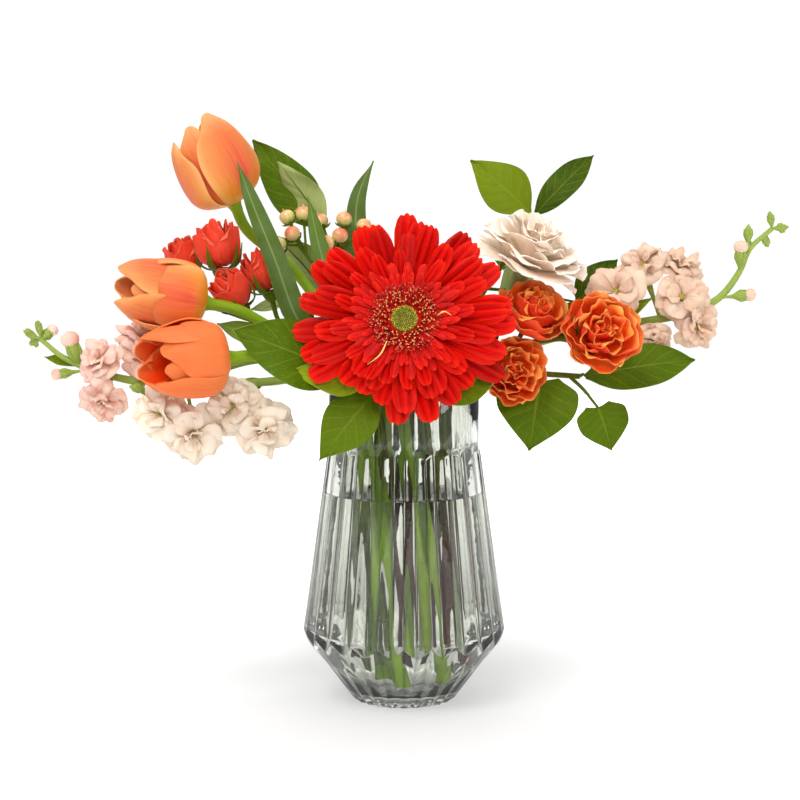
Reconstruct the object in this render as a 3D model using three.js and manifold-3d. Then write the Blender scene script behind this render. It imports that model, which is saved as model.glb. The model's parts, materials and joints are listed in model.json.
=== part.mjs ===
// A mixed bouquet led by a red gerbera, standing in water in a clear fluted glass vase.
// Millimetres, +Z up. The origin is the centre of the vase's foot on the surface it stands on.
// +X is to the right as seen from the front, and -Y is toward the viewer.

import * as THREE from 'three';
import { mergeVertices } from 'three/addons/utils/BufferGeometryUtils.js';
import Module from 'manifold-3d';

const wasm = await Module();
wasm.setup();

// ---------------------------------------------------------------- driving dimensions

const VASE_HEIGHT = 170;
const VASE_FOOT_RADIUS = 26;
const VASE_SHOULDER_RADIUS = 56;
const VASE_COLLAR_RADIUS = 41.3;
const VASE_COLLAR_INNER = 38.2;
const VASE_COLLAR_FROM = 142;
const VASE_FLUTES = 24;
const WATER_LEVEL = 114.6;
const WATER_GAP = 0.35;

const NECK_HEIGHT = 162;
const OUTER_RING = 27;
const INNER_RING = 13;
const STEM_TWIST = 48;
const STEM_SIDES = 6;
const STEM_STEP = 25;
const HOLE_GAP = 0.35;

const BLADE = 0.8;
const SEAT_GAP = 0.3;

const GERBERA_RADIUS = 57.5;
const TULIP_LENGTH = 48;
const TULIP_RADIUS = 19.6;
const CARNATION_RADIUS = 33;
const BERRY_RADIUS = 4.4;

// ---------------------------------------------------------------- small helpers

const V = (x, y, z) => new THREE.Vector3(x, y, z);
const mix = (a, b, t) => a + (b - a) * t;
const degrees = (angle) => (angle * Math.PI) / 180;

// A repeatable run of numbers from 0 to 1.
function seeded(seed) {
  let state = seed * 7919 + 17;
  return () => {
    state = (state * 16807) % 2147483647;
    return state / 2147483647;
  };
}

// Reads a value from evenly spaced stations, with straight lines between them.
function stations(values, t) {
  const place = Math.min(Math.max(t, 0), 1) * (values.length - 1);
  const i = Math.min(Math.floor(place), values.length - 2);
  return mix(values[i], values[i + 1], place - i);
}

// Turns a closed geometry into a solid: merges shared corners and drops flattened triangles.
function solid(geometry, frame) {
  const bare = new THREE.BufferGeometry();
  bare.setAttribute('position', geometry.getAttribute('position').clone());
  if (geometry.index) bare.setIndex(geometry.index.clone());
  if (frame) bare.applyMatrix4(frame);
  const merged = mergeVertices(bare, 1e-4);
  const corners = merged.getIndex().array;
  const kept = [];
  for (let i = 0; i < corners.length; i += 3) {
    const [a, b, c] = [corners[i], corners[i + 1], corners[i + 2]];
    if (a !== b && b !== c && c !== a) kept.push(a, b, c);
  }
  const make = (triangles) => new wasm.Manifold(new wasm.Mesh({
    numProp: 3,
    vertProperties: Float32Array.from(merged.getAttribute('position').array),
    triVerts: Uint32Array.from(triangles),
  }));
  const result = make(kept);
  return result.volume() > 0 ? result : make(kept.reverse());
}

// Joins solids into one body. Sealed hollows are filled and loose scraps dropped.
function fuse(solids) {
  const joined = wasm.Manifold.union(solids).simplify(0.03);
  const bodies = joined.decompose();
  bodies.sort((a, b) => b.volume() - a.volume());
  return bodies[0];
}

function toGeometry(body) {
  const mesh = body.getMesh();
  const geometry = new THREE.BufferGeometry();
  geometry.setAttribute('position', new THREE.BufferAttribute(mesh.vertProperties.slice(), 3));
  geometry.setIndex(new THREE.BufferAttribute(mesh.triVerts.slice(), 1));
  geometry.computeVertexNormals();
  return geometry;
}

// A thin blade over the surface (u along, v across): both faces are split into the same
// triangles, and a narrow wall closes the rim.
function blade(surface, along, across, thickness = BLADE) {
  const grid = [];
  for (let i = 0; i <= along; i += 1) {
    const row = [];
    for (let j = 0; j <= across; j += 1) row.push(surface(i / along, (2 * j) / across - 1));
    grid.push(row);
  }
  const normalAt = (i, j) => {
    const ahead = grid[Math.min(i + 1, along)][j].clone().sub(grid[Math.max(i - 1, 0)][j]);
    const beside = grid[i][Math.min(j + 1, across)].clone().sub(grid[i][Math.max(j - 1, 0)]);
    return ahead.cross(beside).normalize();
  };
  const positions = [];
  for (const side of [0.5, -0.5]) {
    for (let i = 0; i <= along; i += 1) {
      for (let j = 0; j <= across; j += 1) {
        const point = grid[i][j].clone().addScaledVector(normalAt(i, j), side * thickness);
        positions.push(point.x, point.y, point.z);
      }
    }
  }
  const layer = (along + 1) * (across + 1);
  const at = (i, j) => i * (across + 1) + j;
  const triangles = [];
  for (let i = 0; i < along; i += 1) {
    for (let j = 0; j < across; j += 1) {
      const [a, b, c, d] = [at(i, j), at(i + 1, j), at(i + 1, j + 1), at(i, j + 1)];
      triangles.push(a, b, c, a, c, d);
      triangles.push(a + layer, c + layer, b + layer, a + layer, d + layer, c + layer);
    }
  }
  const rim = [];
  for (let i = 0; i < along; i += 1) rim.push(at(i, 0));
  for (let j = 0; j < across; j += 1) rim.push(at(along, j));
  for (let i = along; i > 0; i -= 1) rim.push(at(i, across));
  for (let j = across; j > 0; j -= 1) rim.push(at(0, j));
  rim.forEach((from, k) => {
    const to = rim[(k + 1) % rim.length];
    triangles.push(to, from, from + layer, to, from + layer, to + layer);
  });
  const geometry = new THREE.BufferGeometry();
  geometry.setAttribute('position', new THREE.Float32BufferAttribute(positions, 3));
  geometry.setIndex(triangles);
  return geometry;
}

// A solid of revolution about +Z from [radius, height] pairs that start and end on the axis.
function turned(profile, segments) {
  const points = profile.map(([radius, height]) => new THREE.Vector2(radius, height));
  return new THREE.LatheGeometry(points, segments).rotateX(Math.PI / 2);
}

const stepsAlong = (curve, step) => Math.max(1, Math.round(curve.getLength() / step));

// A round bar of constant radius along a curve.
function bar(curve, radius, sides = radius > 2.5 ? STEM_SIDES : STEM_SIDES - 1, step = STEM_STEP) {
  const outline = new THREE.Shape();
  for (let k = 0; k < sides; k += 1) {
    const angle = (k / sides) * 2 * Math.PI;
    const [x, y] = [radius * Math.cos(angle), radius * Math.sin(angle)];
    if (k === 0) outline.moveTo(x, y);
    else outline.lineTo(x, y);
  }
  const steps = stepsAlong(curve, step);
  return new THREE.ExtrudeGeometry(outline, { extrudePath: curve, steps, curveSegments: 1 });
}

const line = (from, to) => new THREE.LineCurve3(from, to);
const smooth = (points) => new THREE.CatmullRomCurve3(points, false, 'centripetal');

// A frame with +Z along an axis, turned about it.
function headFrame(base, axis, turn = 0) {
  const z = axis.clone().normalize();
  const up = Math.abs(z.z) > 0.95 ? V(0, 1, 0) : V(0, 0, 1);
  const x = up.cross(z).normalize();
  const y = z.clone().cross(x);
  const spin = new THREE.Matrix4().makeRotationZ(degrees(turn));
  return new THREE.Matrix4().makeBasis(x, y, z).setPosition(base).multiply(spin);
}

// A frame with +X from base to tip and +Z as near to the facing direction as it can be.
function leafFrame(base, tip, facing) {
  const x = tip.clone().sub(base).normalize();
  const z = facing.clone().addScaledVector(x, -facing.dot(x)).normalize();
  const y = z.clone().cross(x);
  return new THREE.Matrix4().makeBasis(x, y, z).setPosition(base);
}

// A bloom turned in one piece round its axis. Each ring gives a radius and a height; a lip also
// gives its petal count, how far its notches cut in and drop, and their turn. The rings run up
// and down through nested cups, so that each tier of petals stands clear of the next.
function tiered(rings, centre, segments, ruffle = 0.5) {
  const profile = [[0, rings[0][1]], ...rings.map(([radius, height]) => [radius, height]), [0, centre]];
  const geometry = turned(profile, segments);
  const position = geometry.getAttribute('position');
  for (let segment = 0; segment <= segments; segment += 1) {
    rings.forEach(([radius, height, petals, cut = 0, drop = 0, turn = 0], k) => {
      if (!petals) return;
      const step = (segment + turn) % segments;
      const width = segments / petals;
      const notch = step % width === 0 ? 1 : 0;
      const wave = notch ? 0 : ruffle * (step % 2 === 0 ? 1 : -1);
      const i = segment * profile.length + k + 1;
      const scale = 1 - cut * notch + (wave * 0.6) / radius;
      position.setXYZ(i, position.getX(i) * scale, position.getY(i) * scale, height - drop * notch + wave);
    });
  }
  return solid(geometry);
}

const turnedCopy = (angle) => new THREE.Matrix4().makeRotationZ(degrees(angle));

// ---------------------------------------------------------------- the bouquet's nodes

const bouquet = new THREE.Group();

function add(name, body, color, roughness, options = {}) {
  const { frame, ...look } = options;
  const material = new THREE.MeshStandardMaterial({ color, roughness, metalness: 0, ...look });
  const mesh = new THREE.Mesh(toGeometry(body), material);
  mesh.name = name;
  if (frame) mesh.applyMatrix4(frame);
  bouquet.add(mesh);
}

// ---------------------------------------------------------------- leaves

const OVATE = [0.1, 0.78, 1, 0.74, 0.06];
const LONG = [0.12, 0.7, 1, 0.8, 0.06];
const HEART = [0.45, 1, 0.92, 0.55, 0.06];

// A leaf that grows from a point on its stem: a narrow stalk to the base, then a blade with a
// folded midrib, an arch along its length and a waved edge.
function leaf(from, spec) {
  const { base, tip, facing = V(0, -1, 0.4), width, rows = 4 } = spec;
  const { outline = OVATE, arch = 0.07, fold = 0.14, wave = 0.035 } = spec;
  const length = base.distanceTo(tip);
  const frame = leafFrame(base, tip, facing);
  const beside = V(0, 1, 0).transformDirection(frame);
  const surface = (u, v) => {
    const t = (u * (rows + 1) - 1) / rows;
    if (t < 0) return from.clone().addScaledVector(beside, v * 0.8);
    const half = Math.max((width / 2) * stations(outline, t), 0.9);
    const ripple = wave * length * Math.abs(v) * Math.sin(t * 3 * Math.PI + v);
    const rise = arch * length * 4 * t * (1 - t);
    return V(t * length, v * half, rise + fold * Math.abs(v) * half + ripple).applyMatrix4(frame);
  };
  return solid(blade(surface, rows + 1, 2));
}

// A strap leaf: a channel-shaped blade that follows a curve and narrows to a point.
function strap(points, width, facing, rows = 5) {
  const curve = smooth(points);
  const widths = [0.45, 0.9, 1, 0.97, 0.85, 0.6, 0.1];
  const surface = (u, v) => {
    const centre = curve.getPointAt(u);
    const along = curve.getTangentAt(u);
    const out = facing.clone().addScaledVector(along, -facing.dot(along)).normalize();
    const side = out.clone().cross(along);
    const half = Math.max((width / 2) * stations(widths, u), 0.8);
    return centre.addScaledVector(side, v * half).addScaledVector(out, Math.abs(v) * half * 0.3);
  };
  return solid(blade(surface, rows, 2));
}

// ---------------------------------------------------------------- stems

const stemsInWater = [];

// Each stem stands in a slot: an angle on the outer or inner ring in the neck. It runs straight
// down to its cut end, turned about the axis, and rises through the given points above.
function stemCurve({ slot, inner = false, foot = 12 }, above) {
  const ring = inner ? INNER_RING : OUTER_RING;
  const twist = inner ? STEM_TWIST * 0.6 : STEM_TWIST;
  const neck = V(ring * Math.cos(degrees(slot)), ring * Math.sin(degrees(slot)), NECK_HEIGHT);
  const footAngle = degrees(slot + twist);
  const footRing = ring * 0.84;
  const end = V(3 + footRing * Math.cos(footAngle), footRing * Math.sin(footAngle), 12);
  const run = neck.clone().sub(end);
  const cut = end.clone().addScaledVector(run, (foot - 12) / run.z);
  const surface = end.clone().addScaledVector(run, 0.76);
  return { curve: smooth([cut, surface, neck, ...above]), cut, surface, neck };
}

function stem(slotSpec, radius, above) {
  const { curve, cut, surface } = stemCurve(slotSpec, above);
  stemsInWater.push({ cut, surface, radius });
  return { curve, body: solid(bar(curve, radius)) };
}

// The point on a stem that lies nearest to a given point.
function nearestOn(curve, point) {
  const corners = curve.getSpacedPoints(stepsAlong(curve, STEM_STEP));
  const found = corners.slice(1).map((corner, k) => (
    new THREE.Line3(corners[k], corner).closestPointToPoint(point, true, V(0, 0, 0))));
  return found.sort((a, b) => a.distanceTo(point) - b.distanceTo(point))[0];
}

const leafOn = (curve, spec) => leaf(nearestOn(curve, spec.from ?? spec.base), spec);

// ---------------------------------------------------------------- vase and water

// The flutes are ridges and valleys on alternate segments; the numbers are radius and height.
const OUTSIDE = [
  { ridge: [VASE_FOOT_RADIUS, 0], valley: [VASE_FOOT_RADIUS, 0] },
  { ridge: [29.6, 2.4], valley: [27.8, 3] },
  { ridge: [VASE_SHOULDER_RADIUS, 39], valley: [VASE_SHOULDER_RADIUS - 3, 32] },
  { ridge: [42.3, 137], valley: [40.6, 140.5] },
  { ridge: [VASE_COLLAR_RADIUS, VASE_COLLAR_FROM], valley: [VASE_COLLAR_RADIUS, VASE_COLLAR_FROM] },
  { ridge: [VASE_COLLAR_RADIUS, VASE_HEIGHT], valley: [VASE_COLLAR_RADIUS, VASE_HEIGHT] },
];
const INSIDE = [[0, 6], [27.4, 7], [51, 39], [VASE_COLLAR_INNER, VASE_COLLAR_FROM]];

function vase() {
  const profile = [[0, 0], ...OUTSIDE.map((row) => row.ridge), [0, VASE_HEIGHT]];
  const geometry = turned(profile, VASE_FLUTES * 2);
  const position = geometry.getAttribute('position');
  for (let segment = 1; segment <= VASE_FLUTES * 2; segment += 2) {
    OUTSIDE.forEach((row, k) => {
      const i = segment * profile.length + k + 1;
      const scale = row.valley[0] / row.ridge[0];
      position.setXYZ(i, position.getX(i) * scale, position.getY(i) * scale, row.valley[1]);
    });
  }
  const mouth = [[VASE_COLLAR_INNER, VASE_HEIGHT + 5], [0, VASE_HEIGHT + 5]];
  return solid(geometry).subtract(solid(turned([...INSIDE, ...mouth], VASE_FLUTES)));
}

function water() {
  const [, floor, shoulder, neck] = INSIDE;
  const level = (neck[1] - WATER_LEVEL) / (neck[1] - shoulder[1]);
  const profile = [
    [0, 6 + WATER_GAP],
    [floor[0] - 1.4 * WATER_GAP, floor[1] + WATER_GAP],
    [shoulder[0] - 1.4 * WATER_GAP, shoulder[1]],
    [mix(neck[0], shoulder[0], level) - 1.4 * WATER_GAP, WATER_LEVEL],
    [0, WATER_LEVEL],
  ];
  const holes = stemsInWater.map(({ cut, surface, radius }) => {
    const down = cut.clone().sub(surface).normalize();
    const bottom = cut.clone().addScaledVector(down, HOLE_GAP);
    return solid(bar(line(bottom, surface), radius + HOLE_GAP, undefined, 500));
  });
  return fuse([solid(turned(profile, VASE_FLUTES)).subtract(wasm.Manifold.union(holes))]);
}

// ---------------------------------------------------------------- gerbera

const GERBERA = headFrame(V(0, -62, 212), V(0, -0.956, 0.292));

// One ray floret, lengthwise along +X from the core, with a groove along its middle.
function rayFloret({ reach, width, height, slope, curl, rows = 2, columns = 2 }) {
  const widths = rows === 2 ? [0.2, 1, 0.46] : [0.45, 0.7];
  const surface = (u, v) => {
    const along = mix(6.2, reach, Math.pow(u, 0.45));
    const rise = height + slope * (along - 7) + curl * u * u;
    const half = Math.max((width / 2) * stations(widths, u), 0.9);
    return V(along - 1.2 * v * v * u * u, v * half, rise + 0.09 * width * v * v * u);
  };
  return blade(surface, rows, columns);
}

function floretRing(count, offset, make, random) {
  return Array.from({ length: count }, (unused, k) => {
    const angle = ((k + offset) / count) * 360 + (random() - 0.5) * 4;
    return solid(make(angle), turnedCopy(angle));
  });
}

function gerberaRays() {
  const random = seeded(3);
  const wobble = (amount) => (random() - 0.5) * 2 * amount;
  const long = (reach, width, height, slope, columns) => (angle) => rayFloret({
    reach: reach + wobble(1.6),
    width,
    height,
    slope,
    curl: Math.sin(degrees(angle)) < -0.4 ? -3 + wobble(0.3) : wobble(0.3),
    columns,
  });
  const short = (reach, width, height, slope, rows) => () => rayFloret({
    reach: reach + wobble(1.5), width, height, slope, curl: 0, rows, columns: 1,
  });
  return fuse([
    solid(turned([[0, -6], [8, -6], [8, 2.6], [0, 2.6]], 12)),
    ...floretRing(11, 0, long(GERBERA_RADIUS, 11.6, -4.8, 0.02, 1), random),
    ...floretRing(11, 0.5, long(GERBERA_RADIUS - 1, 11.6, -3.2, 0.02, 2), random),
    ...floretRing(8, 0.25, long(52, 11.2, -1.6, 0.035, 2), random),
    ...floretRing(8, 0.75, long(48, 11.2, -0.2, 0.055, 2), random),
    ...floretRing(9, 0.4, short(30, 6.4, 0.9, 0.18, 2), random),
    ...floretRing(9, 0, short(18, 3.8, 1.7, 0.42, 1), random),
  ]);
}

function gerberaStem() {
  const back = V(0, 0, -6.3).applyMatrix4(GERBERA);
  const behind = V(0, 0, -24).applyMatrix4(GERBERA);
  const { body } = stem({ slot: -92, foot: 14 }, 3.2, [V(-1, -31, 188), behind, back]);
  const cup = turned([[0, -16], [3.4, -16], [8.2, -9.5], [10.6, -6.8], [7, -6.3], [0, -6.3]], 20);
  const position = cup.getAttribute('position');
  for (let segment = 1; segment <= 20; segment += 2) {
    const i = segment * 6 + 3;
    position.setXYZ(i, position.getX(i) * 0.82, position.getY(i) * 0.82, -7.6);
  }
  return fuse([body, solid(cup, GERBERA)]);
}

add('gerbera_ray_florets', gerberaRays(), 0xe8220f, 0.55, { frame: GERBERA });
add('gerbera_disc', solid(turned([[0, 2.9], [7.2, 2.9], [6.4, 4.6], [3.4, 5.6], [0, 5.9]], 12)),
  0x7f7a1e, 0.8, { frame: GERBERA });
add('gerbera_stem', gerberaStem(), 0x6f9a2e, 0.6);

// ---------------------------------------------------------------- tulips

// A cup of six broad petals: three inside and three outside, each wrapped round the axis.
function tulip({ length = TULIP_LENGTH, radius = TULIP_RADIUS, open = 0 }) {
  const bulge = [0.22, 0.93, 1, 0.86, 0.52];
  const climb = [0.02, 0.2, 0.47, 0.76, 1];
  const spread = [0.5, 1, 1, 0.86, 0.2];
  const petal = (shell, half, tall, lean, rows) => blade((u, v) => {
    const angle = degrees(half) * stations(spread, u) * v;
    const round = stations(bulge, u) * radius * shell - (1 - shell) * 12 * (1 - u) + lean * u * u;
    const fall = 0.05 * length * u * v * v;
    return V(round * Math.cos(angle), round * Math.sin(angle), stations(climb, u) * length * tall - fall);
  }, rows, 2);
  const parts = [solid(turned([[0, 0], [4.6, 0], [6.2, 3], [0, 4.4]], 6))];
  for (let k = 0; k < 3; k += 1) {
    const lean = k === 0 ? open : 0;
    parts.push(solid(petal(0.84, 54, 0.97, lean * 0.6, 2), turnedCopy(k * 120 + 60)));
    parts.push(solid(petal(1, 52, 1, lean, 4), turnedCopy(k * 120)));
  }
  return fuse(parts);
}

function tulipHead(name, base, tip, turn, color, shape = {}) {
  const axis = tip.clone().sub(base).normalize();
  const frame = headFrame(base, axis, turn);
  add(`${name}_petals`, tulip({ length: base.distanceTo(tip), ...shape }), color, 0.5, { frame });
  const seat = (back) => base.clone().addScaledVector(axis, -back);
  return { seat, collar: solid(turned([[0, -5], [3.4, -5], [4.4, -SEAT_GAP], [0, -SEAT_GAP]], 8), frame) };
}

const tulipTop = tulipHead('tulip_top', V(-94, 14, 274), V(-116, 8, 321), 28, 0xf3a05e,
  { radius: 21, open: 1.5 });
const tulipMiddle = tulipHead('tulip_middle', V(-105, -30, 220), V(-153, -38, 230), 60, 0xf0904c);
const tulipLow = tulipHead('tulip_low', V(-92, -50, 192), V(-136, -66, 190), 95, 0xf08348, { open: 3 });

const tulipTopStem = stem({ slot: 165, inner: true, foot: 15 }, 3.1, [
  V(-22, 3, 186), V(-43, 8, 214), V(-64, 18, 240), tulipTop.seat(16), tulipTop.seat(1),
]);
add('tulip_top_stem', fuse([
  tulipTopStem.body,
  tulipTop.collar,
  strap([V(-20, 2, 182), V(-34, -4, 214), V(-45, -7, 246), V(-52, -6, 277)], 12, V(0.2, -1, 0.3)),
  strap([V(-15, 4, 172), V(-19, 7, 200), V(-25, 14, 240), V(-26, 20, 276), V(-17, 24, 298)],
    14, V(0.1, -1, 0.2)),
]), 0x6f9c3c, 0.55);

const tulipMiddleStem = stem({ slot: -152, inner: true, foot: 13 }, 3.1, [
  V(-24, -12, 182), V(-48, -16, 196), V(-72, -21, 207), tulipMiddle.seat(14), tulipMiddle.seat(1),
]);
add('tulip_middle_stem', fuse([
  tulipMiddleStem.body,
  tulipMiddle.collar,
  strap([V(-40, -14, 190), V(-57, -15, 210), V(-69, -17, 242), V(-82, -18, 275), V(-89, -18, 295)],
    13, V(0.3, -1, 0.2)),
  strap([V(-38, -16, 190), V(-58, -19, 193), V(-84, -23, 203), V(-100, -24, 209)], 16, V(0, -1, 0.5)),
]), 0x7ba535, 0.55);

const tulipLowStem = stem({ slot: -147, foot: 12.5 }, 3.1, [
  V(-32, -22, 178), V(-50, -35, 184), tulipLow.seat(16), tulipLow.seat(1),
]);
add('tulip_low_stem', fuse([tulipLowStem.body, tulipLow.collar]), 0x8bb03a, 0.55);

// ---------------------------------------------------------------- roses

// Half-open bud: three tiers of upright petals round a rolled heart.
const RED_BUD = {
  segments: 12,
  centre: 20,
  rings: [
    [4.2, 0], [10.4, 8.5], [11.9, 22, 3, 0.14, 10], [11, 22, 3, 0.14, 10], [5.6, 4.5],
    [6.3, 10], [8.2, 24, 3, 0.12, 8, 2], [7.2, 24, 3, 0.12, 8, 2], [3.6, 7],
    [3.9, 13], [4.9, 25, 3, 0.1, 6, 1], [3.9, 25, 3, 0.1, 6, 1],
  ],
};
// Open bloom: four tiers, the outer ones laid back.
const ORANGE_BLOOM = {
  segments: 12,
  centre: 12,
  rings: [
    [4.2, 0], [12, 5], [19, 13, 6, 0.2, 4], [18.2, 13.9, 6, 0.2, 4], [9.5, 5.6],
    [11.2, 9], [14.4, 17.5, 4, 0.14, 5, 1], [13.5, 18.2, 4, 0.14, 5, 1], [6.5, 7.5],
    [7.6, 11], [10, 19, 4, 0.12, 5, 2], [9, 19.4, 4, 0.12, 5, 2], [4.2, 9.5],
    [4.8, 12.5], [6, 18.5, 3, 0.1, 4, 1], [5, 18.8, 3, 0.1, 4, 1],
  ],
};

// The green seat of a rose: a small cup with five pointed sepals spread below the petals.
function calyx(frame, size) {
  const profile = [[0, -7], [3.6, -4], [4.6, -2], [4.2, -SEAT_GAP], [0, -SEAT_GAP]];
  const cup = turned(profile, 10);
  const position = cup.getAttribute('position');
  for (let segment = 1; segment <= 10; segment += 2) {
    const i = segment * profile.length + 2;
    const reach = (9.6 * size) / 4.6;
    position.setXYZ(i, position.getX(i) * reach, position.getY(i) * reach, 1.2);
  }
  return solid(cup, frame);
}

function roseHead(name, base, axis, shape, size, color, seed) {
  const frame = headFrame(base, axis, seed * 25);
  const rings = shape.rings.map(([radius, height, petals, cut, drop, turn]) => (
    [radius * size, height * size, petals, cut, drop && drop * size, turn]));
  const body = tiered(rings, shape.centre * size, shape.segments);
  add(name, body, color, 0.55, { frame });
  const back = (distance) => base.clone().addScaledVector(axis.clone().normalize(), -distance);
  return { back, green: calyx(frame, size) };
}

// A branch that leaves the main stem and runs into the back of a head.
function branch(from, head, radius) {
  return solid(bar(smooth([from, head.back(17), head.back(6)]), radius, 4, 14));
}

const RED = 0xe8432e;
const redA = roseHead('red_rose_1', V(-119, 10, 236), V(-0.3, -0.1, 0.93), RED_BUD, 0.8, RED, 1);
const redB = roseHead('red_rose_2', V(-100, -4, 239), V(-0.05, -0.05, 1), RED_BUD, 1.04, RED, 2);
const redC = roseHead('red_rose_3', V(-88, -14.6, 218.6), V(-0.46, -0.42, 0.78), RED_BUD, 0.92, RED, 3);
const redD = roseHead('red_rose_4', V(-74, 1, 226.5), V(-0.28, -0.05, 0.95), RED_BUD, 0.96, RED, 4);

const redStem = stem({ slot: 112, inner: true, foot: 30 }, 2, [
  V(-15, 18, 184), V(-40, 18, 196), V(-62, 13, 205), V(-82, 9, 209), V(-99, 4, 215),
]);
add('red_rose_spray_stem', fuse([
  redStem.body,
  redA.green,
  redB.green,
  redC.green,
  redD.green,
  branch(V(-97, 5, 214), redA, 1.3),
  branch(V(-97, 5, 214), redB, 1.3),
  branch(V(-80, 9, 209), redC, 1.3),
  branch(V(-64, 12, 205), redD, 1.3),
  leafOn(redStem.curve, { base: V(-50, 21, 204), tip: V(-72, 32, 222), width: 15, rows: 3 }),
  leafOn(redStem.curve, { base: V(-66, 16, 203), tip: V(-92, 24, 197), width: 16, rows: 3 }),
]), 0x5d8a34, 0.6);

const ORANGE = 0xf2762b;
const orangeE = roseHead('orange_rose_1', V(66, -24, 209), V(0.35, -0.62, 0.68), ORANGE_BLOOM, 1.02, ORANGE, 5);
const orangeF = roseHead('orange_rose_2', V(100, -39, 203), V(0.22, -0.93, 0.25), ORANGE_BLOOM, 1.08, ORANGE, 6);
const orangeG = roseHead('orange_rose_3', V(55, -28, 184), V(0.3, -0.93, 0.08), ORANGE_BLOOM, 0.96, ORANGE, 7);

const orangeStem = stem({ slot: -38, foot: 26 }, 2.1, [
  V(27, -18, 175), V(38, -19, 187), V(58, -16, 196), V(78, -19, 200), V(88, -24, 201),
]);
add('orange_rose_spray_stem', fuse([
  orangeStem.body,
  orangeE.green,
  orangeF.green,
  orangeG.green,
  branch(V(54, -17, 195), orangeE, 1.3),
  branch(V(84, -21, 200), orangeF, 1.3),
  branch(V(36, -19, 185), orangeG, 1.3),
  leafOn(orangeStem.curve, { base: V(44, -18, 192), tip: V(43, -24, 224), width: 15, rows: 3 }),
  leafOn(orangeStem.curve, { base: V(84, -14, 201), tip: V(96, -4, 222), width: 16, rows: 3 }),
]), 0x4f7a2c, 0.6);

// ---------------------------------------------------------------- carnation

const CARNATION_BASE = V(65, -14, 238);
const CARNATION_AXIS = V(0.42, -0.25, 0.87).normalize();
const CARNATION = headFrame(CARNATION_BASE, CARNATION_AXIS, 10);

const CARNATION_RINGS = [
  [4.4, 0], [13, 3.6], [CARNATION_RADIUS, 5, 6, 0.4, 0], [CARNATION_RADIUS, 6, 6, 0.4, 0], [14, 8.5],
  [17, 11.5], [28, 17, 6, 0.26, 3, 2], [27.2, 18, 6, 0.26, 3, 2], [10, 13.5],
  [13, 18.5], [20, 24.5, 6, 0.24, 3, 1], [19, 25.4, 6, 0.24, 3, 1], [6.5, 19],
  [8, 23], [11.4, 28, 3, 0.2, 2, 3], [10.4, 28.6, 3, 0.2, 2, 3],
];

add('carnation_petals', tiered(CARNATION_RINGS, 21, 18, 1.1), 0xf7e3d4, 0.6, { frame: CARNATION });

const carnationStem = stem({ slot: -15, inner: true, foot: 22 }, 1.9, [
  V(22, -4, 184), V(40, -7, 208), V(0, 0, -20).applyMatrix4(CARNATION), V(0, 0, -6).applyMatrix4(CARNATION),
]);
add('carnation_stem', fuse([
  carnationStem.body,
  solid(turned([[0, -19], [2.2, -19], [4, -14], [4.4, -SEAT_GAP], [0, -SEAT_GAP]], 10), CARNATION),
]), 0x8fae6a, 0.6);

// ---------------------------------------------------------------- stock

// A ruffled floret: four broad petals with an upright inner tier.
function stockFloret(radius, seed) {
  const random = seeded(seed);
  const reach = radius * (0.95 + random() * 0.1);
  const segments = radius > 10 ? 12 : 8;
  const turn = Math.floor(random() * 3);
  const rings = [
    [1.9, 0], [reach, radius * 0.36, 4, 0.34, 0.6, turn], [reach, radius * 0.36 + 0.9, 4, 0.34, 0.6, turn],
    [3.4, 4.8], [radius * 0.58, radius * 0.8, 4, 0.3, 2, turn + 1],
  ];
  return tiered(rings, 6.4, segments, 1);
}

// A straight stalk with a swollen end, from one point to another.
function stalkTo(from, tip, profileEnd, sides = 5) {
  const run = from.distanceTo(tip);
  const profile = [[0, 0], [0.8, 0], ...profileEnd.map(([radius, back]) => [radius, run - back])];
  return solid(turned(profile, sides), headFrame(from, tip.clone().sub(from)));
}

// A stock stem: the main bar, stalks with a narrow green calyx to each floret, and buds.
function stock(name, slotSpec, path, clusters, buds, leaves, color) {
  const { curve, body } = stem(slotSpec, 1.9, path);
  const parts = [body];
  clusters.forEach((florets, c) => {
    const blooms = florets.map(([base, axis, radius], k) => {
      const frame = headFrame(base, axis, k * 33 + c * 20);
      const seat = V(0, 0, -SEAT_GAP - 0.6).applyMatrix4(frame);
      const foot = V(0, 0, -9).applyMatrix4(frame);
      parts.push(solid(bar(smooth([nearestOn(curve, foot), foot, seat]), 1.15, 4, 9)));
      return solid(toGeometry(stockFloret(radius, k + c * 3 + name.length * 5)), frame);
    });
    add(`${name}_florets_${c + 1}`, fuse(blooms), color, 0.65);
  });
  buds.forEach(([tip, size = 1]) => {
    const end = [[0.8, 8 * size], [2.7 * size, 4.4 * size], [0, 0]];
    parts.push(stalkTo(nearestOn(curve, tip), tip, end, 4));
  });
  leaves.forEach((spec) => parts.push(leafOn(curve, spec)));
  add(`${name}_stem`, fuse(parts), 0x8aa24a, 0.6);
}

const BLUSH = 0xf6e2d3;

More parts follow.
